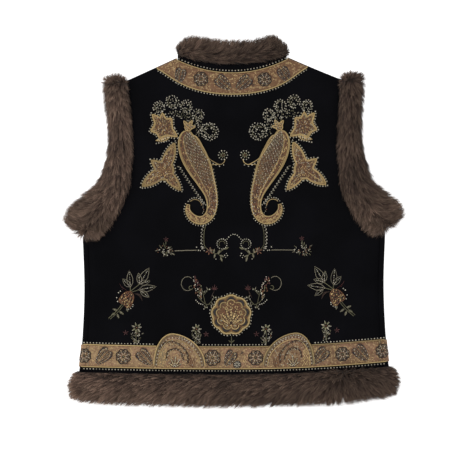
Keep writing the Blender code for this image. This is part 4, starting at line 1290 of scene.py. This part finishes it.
def sewBouquet(side):  # pomegranate in the corner
    fruit = mirrored(curve([(0.1655, -0.1075), (0.1760, -0.1105), (0.1845, -0.1215), (0.1815, -0.1265),
                            (0.1765, -0.1285), (0.1725, -0.1330), (0.1695, -0.1345), (0.1645, -0.1300),
                            (0.1605, -0.1165), (0.1655, -0.1075)], 4), side)
    cord(fruit, 0.0006, "copper")
    strew(fruit, 0.0019, lambda x, y: dash(x, y, luck.uniform(0.4, 1.6), 0.0028, 0.0014, luck.choice(
        ("copper", "brown", "gold", "copper", "brown"))))
    for points in ([(0.1790, -0.1280), (0.1880, -0.1390), (0.2010, -0.1510)],
                   [(0.1765, -0.1295), (0.1860, -0.1410), (0.1985, -0.1525)]):
        vine(side, points, 0.0006, "olive")
    for x, y, direction, long in ((0.1870, -0.1385, 20, 0.0080), (0.1905, -0.1425, 330, 0.0070),
                                  (0.1835, -0.1400, 215, 0.0085), (0.1870, -0.1440, 250, 0.0075),
                                  (0.1720, -0.1350, 250, 0.0055)):
        leaflet(x, y, direction, long, 0.0014, side, "olive", 0.0004, "pale")
    beads(mirrored([(0.1820, -0.1075), (0.1850, -0.1100), (0.1880, -0.1180), (0.1865, -0.1240), (0.1620, -0.1290),
                    (0.1625, -0.1320), (0.1655, -0.1350), (0.1690, -0.1365)], side))
    for x, y, direction, long, half in (
            (0.1660, -0.1010, 47, 0.0185, 0.0044), (0.1660, -0.1010, 86, 0.0265, 0.0050),
            (0.1510, -0.0960, 84, 0.0180, 0.0040), (0.1510, -0.0960, 120, 0.0300, 0.0062),
            (0.1510, -0.0960, 163, 0.0175, 0.0040), (0.1530, -0.1055, 169, 0.0290, 0.0056),
            (0.1500, -0.1070, 216, 0.0175, 0.0040)):
        leaflet(x, y, direction, long, half, side, "pale", 0.0004, beads=("silver", "silver", "olive"))
        leaflet(x, y, direction, long * 0.5, half * 0.3, side, None, fill="brown")
    for stalk in ([(0.1660, -0.1070), (0.1660, -0.1010)], [(0.1650, -0.1070), (0.1510, -0.0960)],
                  [(0.1640, -0.1090), (0.1530, -0.1055)]):
        cord(mirrored(stalk, side), 0.0006, "olive")
    for i in range(4):
        vine(side, [(0.1700, -0.1080), (0.1760 + 0.0015 * i, -0.1035 + 0.0012 * i),
                    (0.1795 + 0.0012 * i, -0.1045 + 0.0030 * i)], 0.0004, "red")
        vine(side, [(0.1615, -0.1110), (0.1550 - 0.0015 * i, -0.1130),
                    (0.1500 - 0.0010 * i, -0.1170 - 0.0020 * i)], 0.0004, "brown")


def sewScroll(side):  # sprig beside the medallion
    cord(mirrored(arc(0.0744, -0.0955, 0.0100, -125, 130, 20, 1.12), side), 0.0005, "pale")
    cord(mirrored(arc(0.0692, -0.1020, 0.0030, -160, 120, 10), side), 0.0005, "olive")
    for i in range(62):
        t = i / 61
        x = mix(0.0625, 0.0535, t) + luck.uniform(-0.0062, 0.0062) * math.sin(math.pi * mix(0.12, 0.95, t))
        y = mix(-0.0855, -0.1195, t) + luck.uniform(-0.002, 0.002)
        if i % 2:
            bead((side * x, y), 0.0010, "silver" if i % 4 == 1 else "copper")
        else:
            hue = "red" if t < 0.45 else "copper" if i % 4 else "olive"
            dash(side * x, y, luck.uniform(0.6, 2.4), 0.0042, 0.0014, hue)
    beadRow(mirrored(curve([(0.0610, -0.1220), (0.0560, -0.1270), (0.0500, -0.1290)]), side), 0.0030, size=0.0010)
    twig = [(0.0580, -0.1160), (0.0500, -0.1250), (0.0420, -0.1290), (0.0370, -0.1250)]
    vine(side, twig, 0.0005, "olive")
    for points in ([(0.0460, -0.1270), (0.0500, -0.1100)], [(0.0400, -0.1280), (0.0320, -0.1190)],
                   [(0.0440, -0.1285), (0.0460, -0.1350)], [(0.0480, -0.1130), (0.0420, -0.1060)],
                   [(0.0400, -0.1280), (0.0340, -0.1300)]):
        cord(mirrored(points, side), 0.00045, "olive")
        x, y = points[1]
        leaflet(x, y, 70, 0.0060, 0.0012, side, None, fill="pale")
        leaflet(x, y, 140, 0.0060, 0.0012, side, None, fill="olive")
        beads(mirrored([(x + 0.0022, y - 0.0012), (x - 0.0030, y + 0.0012)], side), 0.0010)
    fan(0.0310, -0.1060, 90, 0.0095, 0.0014, 60, 5, side, hue=None, fill="red")
    stitch((side * 0.0312, -0.1060), (side * 0.0380, -0.1200), 0.0008, "brown")


def sewSprigs(side):  # small flower sprigs over the band, each with a red star
    for x, y, starX in ((0.1560, -0.1660, 0.1735), (0.0600, -0.1685, 0.0445)):
        for i in range(7):
            angle, far = i * 0.9 + luck.uniform(-0.15, 0.15), luck.uniform(0.0072, 0.0086)
            stitch(polar(side * x, y, angle, far * 0.25), polar(side * x, y, angle, far), 0.0032,
                   "olive" if i % 3 else "pale")
            bead(polar(side * x, y, angle, far * 0.95), 0.0008)
        bead((side * x, y), 0.0013, "copper")
        cord(mirrored([(x, y - 0.005), (x + 0.001, y - 0.015), (x, y - 0.026)], side), 0.0005, "olive")
        for i in range(38):
            up, chance = luck.random(), luck.random()
            px, py = x + luck.uniform(-1, 1) * mix(0.0040, 0.0088, up), mix(y - 0.0250, y - 0.0080, up)
            if i % 3:
                fill = pick(chance, (0.5, "olive"), (1, "pale"))
                leaflet(px, py, luck.uniform(20, 160), 0.0050, 0.0009, side, None, fill=fill)
            else:
                bead((side * px, py), 0.0009, pick(chance, (0.7, "silver"), (1, "copper")))
        star(side * starX, y - 0.0080, 0.0050)


for side, name in sides:
    sewPaisley(side, plates[f"paisley_{name}"])
    for part in ("upper_leaf", "lower_leaf", "calyx"):
        sewLeaf(side, part, plates[f"{part}_{name}"])
    sewTendrils(side, plates[f"paisley_{name}"])
    sewPlume(side)
    sewStem(side)
    moved["x"] = -0.0067 * max(side, 0)
    sewBouquet(side)
    moved["x"] = -0.0085 * max(side, 0)
    sewScroll(side)
    sewSprigs(side)
    moved["x"] = 0.0
print("motifs sewn:", len(sewn["bead"]), "beads,", len(sewn["stitch"]), "stitches,", len(cords), "cords")


# Medallion: double scalloped cord, a dark crescent in each scallop, spreading leaf, ring of beads

mx, my = medallion["centre"]
rimLine = [s[-1] for s in plates["medallion"]]
cord(rimLine, 0.0013, "gold", True)
beadRow(drawnIn(rimLine, 1.10), 0.0050, True)
beadRow(drawnIn(rimLine, 1.05), 0.0050, True, 0.0, 0.0007, ("gold",))


def fromMiddle(radius, degrees):
    return polar(mx, my, math.radians(degrees), radius)


for i in range(medallion["scallops"]):
    middle = -90 + 360 * (i + 0.5) / medallion["scallops"]
    for k in range(15):
        off = (k - 7) / 7
        thick, radius = 0.0023 * (1 - off**2) ** 0.5 + 0.0002, 0.0272 - 0.0026 * off**2
        stitch(*(fromMiddle(radius + way * thick, middle + off * 14) for way in (-1, 1)), 0.0020, "dark")
    cord([fromMiddle(0.0242 - 0.0040 * (off / 18) ** 2, middle + off) for off in range(-18, 19, 6)], 0.0008, "gold")
    if math.sin(math.radians(middle)) < -0.1:
        cord([fromMiddle(0.0186 + 0.0024 * math.sin(t), middle + 8 * math.cos(t)) for t in (0, 1.2, 2.4, 3.6, 4.8)])
        bead(fromMiddle(0.0184, middle), 0.0011)
strew(arc(mx, my, 0.0185, 0, 345, 23), 0.0021, lambda x, y: dash(
    x, y, math.atan2(y - my + 0.016, x - mx), 0.0030, 0.0014, luck.choice(("copper", "copper", "gold"))))
for direction, long, half in ((26, 0.0190, 0.0032), (154, 0.0190, 0.0032), (48, 0.0240, 0.0029), (132, 0.0240, 0.0029),
                              (71, 0.0285, 0.0029), (109, 0.0285, 0.0029), (90, 0.0310, 0.0024)):
    leaflet(mx, my - 0.0150, direction, long, half, hue="brown", thick=0.0006, fill="gold")
cord([(-0.0040, -0.1800), (-0.0040, -0.1985)], 0.0005, "olive")
fan(-0.0040, -0.1900, 90, 0.0095, 0.0012, 50, 3, hue=None, fill="olive")


# Domes over the hem band: rim, two beaded arches, a beaded hollow and a shaded flank

domeFoot = hemY(0.09) + bandFoot
domeRims = [[s[-1] for s in plates[f"dome_{name}"]] for _, name in sides]


def sewDome(side, rim):
    def inRim(share):
        return [(mix(side * 0.0900, x, share), mix(domeFoot, y, share)) for x, y in rim]

    def domeWork(x, y):
        chance, outer = luck.random(), abs(x) > 0.1080
        if outer and y < domeFoot + 0.030:
            dash(x, y, 1.4, 0.0036, 0.0012, pick(chance, (0.5, "olive") if side < 0 else (0.3, "copper"), (1, "gold")))
        elif chance < 0.26:
            bead((x, y), 0.0008, pick(chance, (0.12, "silver"), (1, "brown")))
        elif chance < 0.6:
            dash(x, y, luck.uniform(0.5, 2.6), 0.0030, 0.0010, "gold" if chance < 0.40 and side < 0 else "copper")

    strew(inRim(0.84), 0.0030, domeWork)
    cord(rim, 0.0009, "gold")
    cord(inRim(0.945), 0.0006, "olive")
    cord(inRim(0.83))
    beadRow(inRim(0.89), 0.0027, size=0.0011, hues=("brown", "silver"))
    for points, pitch, away, turns in (
            ([(0.1200, -0.1990), (0.1130, -0.1905), (0.0992, -0.1875), (0.0840, -0.1945), (0.0736, -0.2079),
              (0.0730, -0.2223)], 0.0026, 0.0017, ("dark", "brown", "pale")),
            ([(0.1088, -0.2160), (0.1060, -0.2035), (0.0928, -0.1990), (0.0840, -0.2057), (0.0800, -0.2175)],
             0.0028, 0.0016, ("pale", "dark"))):
        line = mirrored(curve(points), side)
        cord(line, 0.0006, "brown")
        beadRow(line, pitch, False, away * side, 0.0010, turns)
    fan(0.0950, domeFoot + 0.003, 95, 0.0180, 0.0017, 60, 5, side, hue="brown", fill="gold", beads=("silver",))
    fan(0.0660, domeFoot + 0.002, 75, 0.0240, 0.0014, 24, 3, side, hue="copper", thick=0.0004)
    for place, ahead in evenly(rim, 0.0046):
        at = place + leftOf(ahead) * -0.0030 * (1 if rim[0][0] < rim[-1][0] else -1)
        if at.y > hemY(at.x) + 0.0525 and (side > 0 or at.x > -0.0880):
            bead(at)


for (side, _), rim in zip(sides, domeRims):
    sewDome(side, rim)
print("medallion and domes sewn")


# Ribbons: finger leaves, round flowers, brocade threads and edge beads

def fingerLeaf(x, y, size, direction):  # dark fingers, closely set, curling up from a leaning vein
    ahead = Vector((math.cos(math.radians(direction)), math.sin(math.radians(direction))))
    aside, base = leftOf(ahead), Vector((x, y)) - ahead * size * 0.46
    for i in range(11):
        t = i / 10
        at = base + ahead * size * (0.02 + 0.76 * t)
        reach = size * 0.42 * math.sin(math.pi * (0.12 + 0.80 * t)) ** 0.7
        for way in (-1, 1):
            elbow = at + (aside * way * 0.95 + ahead * 0.35).normalized() * reach * 0.6
            tip = elbow + (aside * way * 0.35 + ahead).normalized() * reach * 0.55
            hue = "dark" if (i + way) % 3 else "brown"
            stitch(at, elbow, 0.0019, hue)
            stitch(elbow, tip, 0.0018, hue)
            if i % 2:
                bead(elbow + ahead * 0.0011, 0.0009)
            else:
                bead(at + aside * way * 0.0024, 0.0009, "pale")
            bead(tip, 0.0007, "copper")
    stitch(base, base + ahead * size * 0.96, 0.0008, "copper")


def roundFlower(x, y, radius):
    for i in range(8):
        angle, hue = 2 * math.pi * i / 8 + 0.39, "dark" if i % 2 else "brown"
        degrees = math.degrees(angle)
        cord(arc(*polar(x, y, angle, radius * 0.60), radius * 0.38, degrees - 115, degrees + 115, 8), 0.0008, hue)
        for turn, far, size, beadHue in ((0, 0.38, 0.0009, "silver"), (0, 0.64, 0.0011, "silver"),
                                         (0, 0.86, 0.0009, "pale"), (0.27, 0.72, 0.0009, "silver"),
                                         (-0.27, 0.72, 0.0009, "pale")):
            bead(polar(x, y, angle + turn, radius * far), size, beadHue)
        angle += 0.39
        stitch(polar(x, y, angle, radius * 0.25), polar(x, y, angle, radius * 0.72), 0.0013, hue)
    for i in range(5):
        bead(polar(x, y, i * 1.26, radius * 0.14), 0.0010, "dark")
    bead((x, y), 0.0011, "olive")


def brocade(x, y):
    dash(x, y, luck.uniform(0, 3.14), 0.0036, 0.0009, luck.choice(("copper", "gold", "gold")))


def bandPlace(x, up):
    return x, hemY(x) + bandFoot + up


bandMiddle = 0.0178

for i in range(620):
    x, y = bandPlace(luck.uniform(-0.240, 0.240), luck.uniform(0.003, 0.033))
    if not any(inside(x, y, rim) for rim in domeRims):
        brocade(x, y)
for motif, x, *look in (
        (fingerLeaf, -0.2090, 0.0350, 48), (roundFlower, -0.1771, 0.0122), (fingerLeaf, -0.1430, 0.0340, 132),
        (roundFlower, -0.0344, 0.0132), (fingerLeaf, -0.0064, 0.0300, 60), (roundFlower, 0.0346, 0.0122),
        (fingerLeaf, 0.1392, 0.0340, 48), (roundFlower, 0.1735, 0.0115), (fingerLeaf, 0.2032, 0.0340, 132),
        (roundFlower, -0.2400, 0.0115), (roundFlower, 0.2380, 0.0115)):
    motif(*bandPlace(x, bandMiddle), *look)
roundFlower(*bandPlace(0.0050, 0.0072), 0.0062)
for turn in (0.5, 1.1, 1.7):
    dash(*bandPlace(0.0125, 0.0250), turn, 0.0080, 0.0012, "brown")
for low, start, end in ((0.0005, -0.244, 0.244), (0.0355, -0.244, -0.1245), (0.0355, -0.0550, 0.0550),
                        (0.0355, 0.1245, 0.244)):  # cords along the band's edges
    cord([bandPlace(mix(start, end, i / 40), low) for i in range(41)], 0.0008, "gold")
for low in (0.0385, -0.0030):  # beads over and under the band
    for place, _ in evenly([bandPlace(mix(-0.240, 0.240, i / 60), low) for i in range(61)], 0.0050):
        if low < 0 or not 0.0535 < abs(place.x) < 0.1255:  # none where a dome stands
            bead(place, 0.0012)
for side, _ in sides:  # seam line of the ribbon
    cord([bandPlace(side * 0.2335, up) for up in (0.001, 0.018, 0.035)], 0.0005, "pale")

upperEdge, lowerEdge = ([p[:2] for p in neckRibbonRows[row]] for row in (0, -1))
for i in range(230):
    t, up = luck.uniform(0.02, 0.98) * (len(lowerEdge) - 1), luck.uniform(0.08, 0.92)
    brocade(*Vector(lowerEdge[int(t)]).lerp(Vector(upperEdge[int(t)]), up))
for motif, *where in (
        (fingerLeaf, -0.0835, 0.2375, 0.0295, 75), (roundFlower, -0.0502, 0.2321, 0.0118),
        (fingerLeaf, -0.0151, 0.2262, 0.0330, 140), (fingerLeaf, 0.0185, 0.2262, 0.0330, 40),
        (roundFlower, 0.0514, 0.2310, 0.0112), (fingerLeaf, 0.0835, 0.2385, 0.0310, 120)):
    motif(*where)
star(0.0330, 0.2225, 0.0035, "brown")
cord(upperEdge, 0.0008, "gold")
cord(lowerEdge, 0.0010, "gold")
for place, ahead in evenly(lowerEdge, 0.0048):
    fringe(place, -leftOf(ahead), 0.0006, 0.0022, 0.0010, 0.0028, 0.0011)
beads([(x, backNeckY(x) + 0.0026) for x in (mix(-0.085, 0.085, i / 34) for i in range(35))], 0.0012)
print("ribbons embroidered")


# The three embroidery pieces

def paletteNodes(nodes):
    ramp = nodes.add("ShaderNodeValToRGB", {}, {0: nodes.attribute("hue") / len(palette)})
    stops = ramp.socket.node.color_ramp
    stops.interpolation = "CONSTANT"
    while len(stops.elements) < len(palette):
        stops.elements.new(0.5)
    for i, (element, colour) in enumerate(zip(stops.elements, palette.values())):
        element.position, element.color = max(0.0, (i - 0.5) / len(palette)), (*colour, 1.0)
    return nodes.shaded(ramp, 0.7 + nodes.attribute("tone") * 0.6)


def silkNodes(nodes):
    grain = nodes.noise(nodes.place(), 1800.0, 2.0)
    return {"Base_Color": paletteNodes(nodes), "Normal": nodes.bump(0.3, 0.0002, grain)}


def cordNodes(nodes):
    twist = nodes.attribute("run") * 3600.0
    # the twist of the plies, raised in the bump and painted as shade in the grooves between them
    plyAndGrooveShade = twist.cosine() * nodes.attribute("cosTurn") - twist.sine() * nodes.attribute("sinTurn")
    return {"Base_Color": nodes.shaded(paletteNodes(nodes), 0.75 + plyAndGrooveShade * 0.25), "Normal": nodes.bump(0.6, 0.0003, plyAndGrooveShade)}


beadGlass = finish("bead_glass", lambda nodes: {"Base_Color": paletteNodes(nodes)}, Roughness=0.28, Metallic=0.25,
                   Coat_Weight=0.3)
silk = finish("silk_thread", silkNodes, Roughness=0.45, Sheen_Weight=0.15)
cordSilk = finish("couched_cord", cordNodes, Roughness=0.42, Metallic=0.2)


def coated(nodes, start, made):  # the end of both trees
    made = nodes.add("GeometryNodeSetMaterial", {}, {"Geometry": made, "Material": start.out("Finish")})
    nodes.add("NodeGroupOutput", {}, {0: made})
    return nodes.tree


def sewnTree(name):
    nodes, start = newTree(name, [("Finish", "NodeSocketMaterial"), ("Rounds", "NodeSocketInt")])
    ball = nodes.add("GeometryNodeMeshIcoSphere", {}, {"Radius": 1.0, "Subdivisions": start.out("Rounds")})
    ball = nodes.add("GeometryNodeSetShadeSmooth", {}, {"Geometry": ball})
    turn = nodes.add("FunctionNodeEulerToRotation", {}, {0: nodes.join(0.0, 0.0, nodes.named("turn"))})
    points = nodes.add("GeometryNodeMeshToPoints", {}, {"Mesh": start, "Radius": 0.001})
    made = nodes.add("GeometryNodeInstanceOnPoints", {}, {"Points": points, "Instance": ball, "Rotation": turn,
                                                          "Scale": nodes.named("size", "FLOAT_VECTOR")})
    return coated(nodes, start, nodes.add("GeometryNodeRealizeInstances", {}, {"Geometry": made}))


def cordTree():
    nodes, start = newTree("couching", [("Sides", "NodeSocketInt"), ("Finish", "NodeSocketMaterial")])
    line = nodes.add("GeometryNodeMeshToCurve", {}, {"Mesh": start})
    line = nodes.add("GeometryNodeSetCurveRadius", {}, {"Curve": line, "Radius": nodes.named("thick")})
    line = nodes.store(line, "run", nodes.add("GeometryNodeSplineParameter").out("Length"))
    ring = nodes.add("GeometryNodeCurvePrimitiveCircle", {}, {"Resolution": start.out("Sides"), "Radius": 1.0})
    turn = nodes.add("GeometryNodeSplineParameter").out("Factor") * 6.28318
    ring = nodes.store(nodes.store(ring, "cosTurn", turn.cosine()), "sinTurn", turn.sine())
    made = nodes.add("GeometryNodeCurveToMesh", {}, {"Curve": line, "Profile Curve": ring, "Fill Caps": True})
    if "Scale" in made.socket.node.inputs:
        nodes.tree.links.new(nodes.named("thick").socket, made.socket.node.inputs["Scale"])
    return coated(nodes, start, nodes.add("GeometryNodeSetShadeSmooth", {}, {"Geometry": made}))


for kind, finished, name in (("bead", beadGlass, "bead_embroidery"), ("stitch", silk, "silk_embroidery")):
    rows = sewn[kind]
    marks = {"size": [row[3:6] for row in rows], "turn": [row[6] for row in rows],
             "hue": [float(row[7]) for row in rows], "tone": [row[8] for row in rows]}
    made = addMesh(name, [row[:3] for row in rows], [], None, marks, laid=True)
    wear(grow(made, sewnTree(kind), {"Finish": finished, "Rounds": 1}), "applique")

points, edges, marks = [], [], {"thick": [], "hue": [], "tone": []}
for line, thick, hue in cords:
    tone = luck.random()
    edges += [(k, k + 1) for k in range(len(points), len(points) + len(line) - 1)]
    points += line
    for mark, value in (("thick", thick), ("hue", float(hue)), ("tone", tone)):
        marks[mark] += [value] * len(line)
made = addMesh("cord_embroidery", points, [], None, marks, laid=True, edges=edges)
wear(grow(made, cordTree(), {"Sides": 6, "Finish": cordSilk}), "applique")
print("embroidery made")


# Floor, light and camera

studio = {"world": 0.60, "distance": 5.0, "frameWide": 0.736, "vestTop": 0.015, "floorHalf": 6, "floorDrop": 0.0006}
lights = {"key_left": ((-1.1, 0.5, 1.1), 0.9, 7.2, (1.0, 0.99, 0.97)),  # place, size, power, colour
          "fill_right": ((1.4, -0.6, 1.6), 1.4, 3.1, (0.97, 0.98, 1.0)),
          "top_soft": ((0.0, 0.3, 2.2), 1.6, 5.0, (1.0, 1.0, 1.0))}

paper = finish("floor_paper", lambda nodes: {"Base_Color": nodes.colour(
    nodes.noise(nodes.place(), 3.0), (0.86, 0.86, 0.86), (0.88, 0.88, 0.88))}, Roughness=0.9,
    Emission_Color=(1, 1, 1, 1), Emission_Strength=0.85)
corners = [(x * studio["floorHalf"], y * studio["floorHalf"], -studio["floorDrop"])
           for x, y in ((-1, -1), (1, -1), (1, 1), (-1, 1))]
addMesh("studio_floor", corners, [(0, 1, 2, 3)], paper, laid=True)

world = bpy.data.worlds.new("studio")
bpy.context.scene.world = world
world.use_nodes = True
background = world.node_tree.nodes["Background"].inputs
background["Color"].default_value, background["Strength"].default_value = (1.0, 1.0, 1.0, 1.0), studio["world"]

for name, (place, size, power, colour) in lights.items():
    lamp = bpy.data.lights.new(name, "AREA")
    lamp.size, lamp.energy, lamp.color = size, power, colour
    made = bpy.data.objects.new(name, lamp)
    made.location, made.rotation_euler = place, (-Vector(place)).to_track_quat("-Z", "Y").to_euler()
    bpy.context.scene.collection.objects.link(made)

lens = bpy.data.cameras.new("camera")
lens.sensor_width, lens.clip_end = 36.0, 50.0
lens.lens = lens.sensor_width * (studio["distance"] - studio["vestTop"]) / studio["frameWide"]
camera = bpy.data.objects.new("camera", lens)
camera.location = (-0.0064, -0.0120, studio["distance"])
bpy.context.scene.collection.objects.link(camera)
bpy.context.scene.camera = camera
bpy.context.scene.view_settings.view_transform = "Standard"
print("studio set")
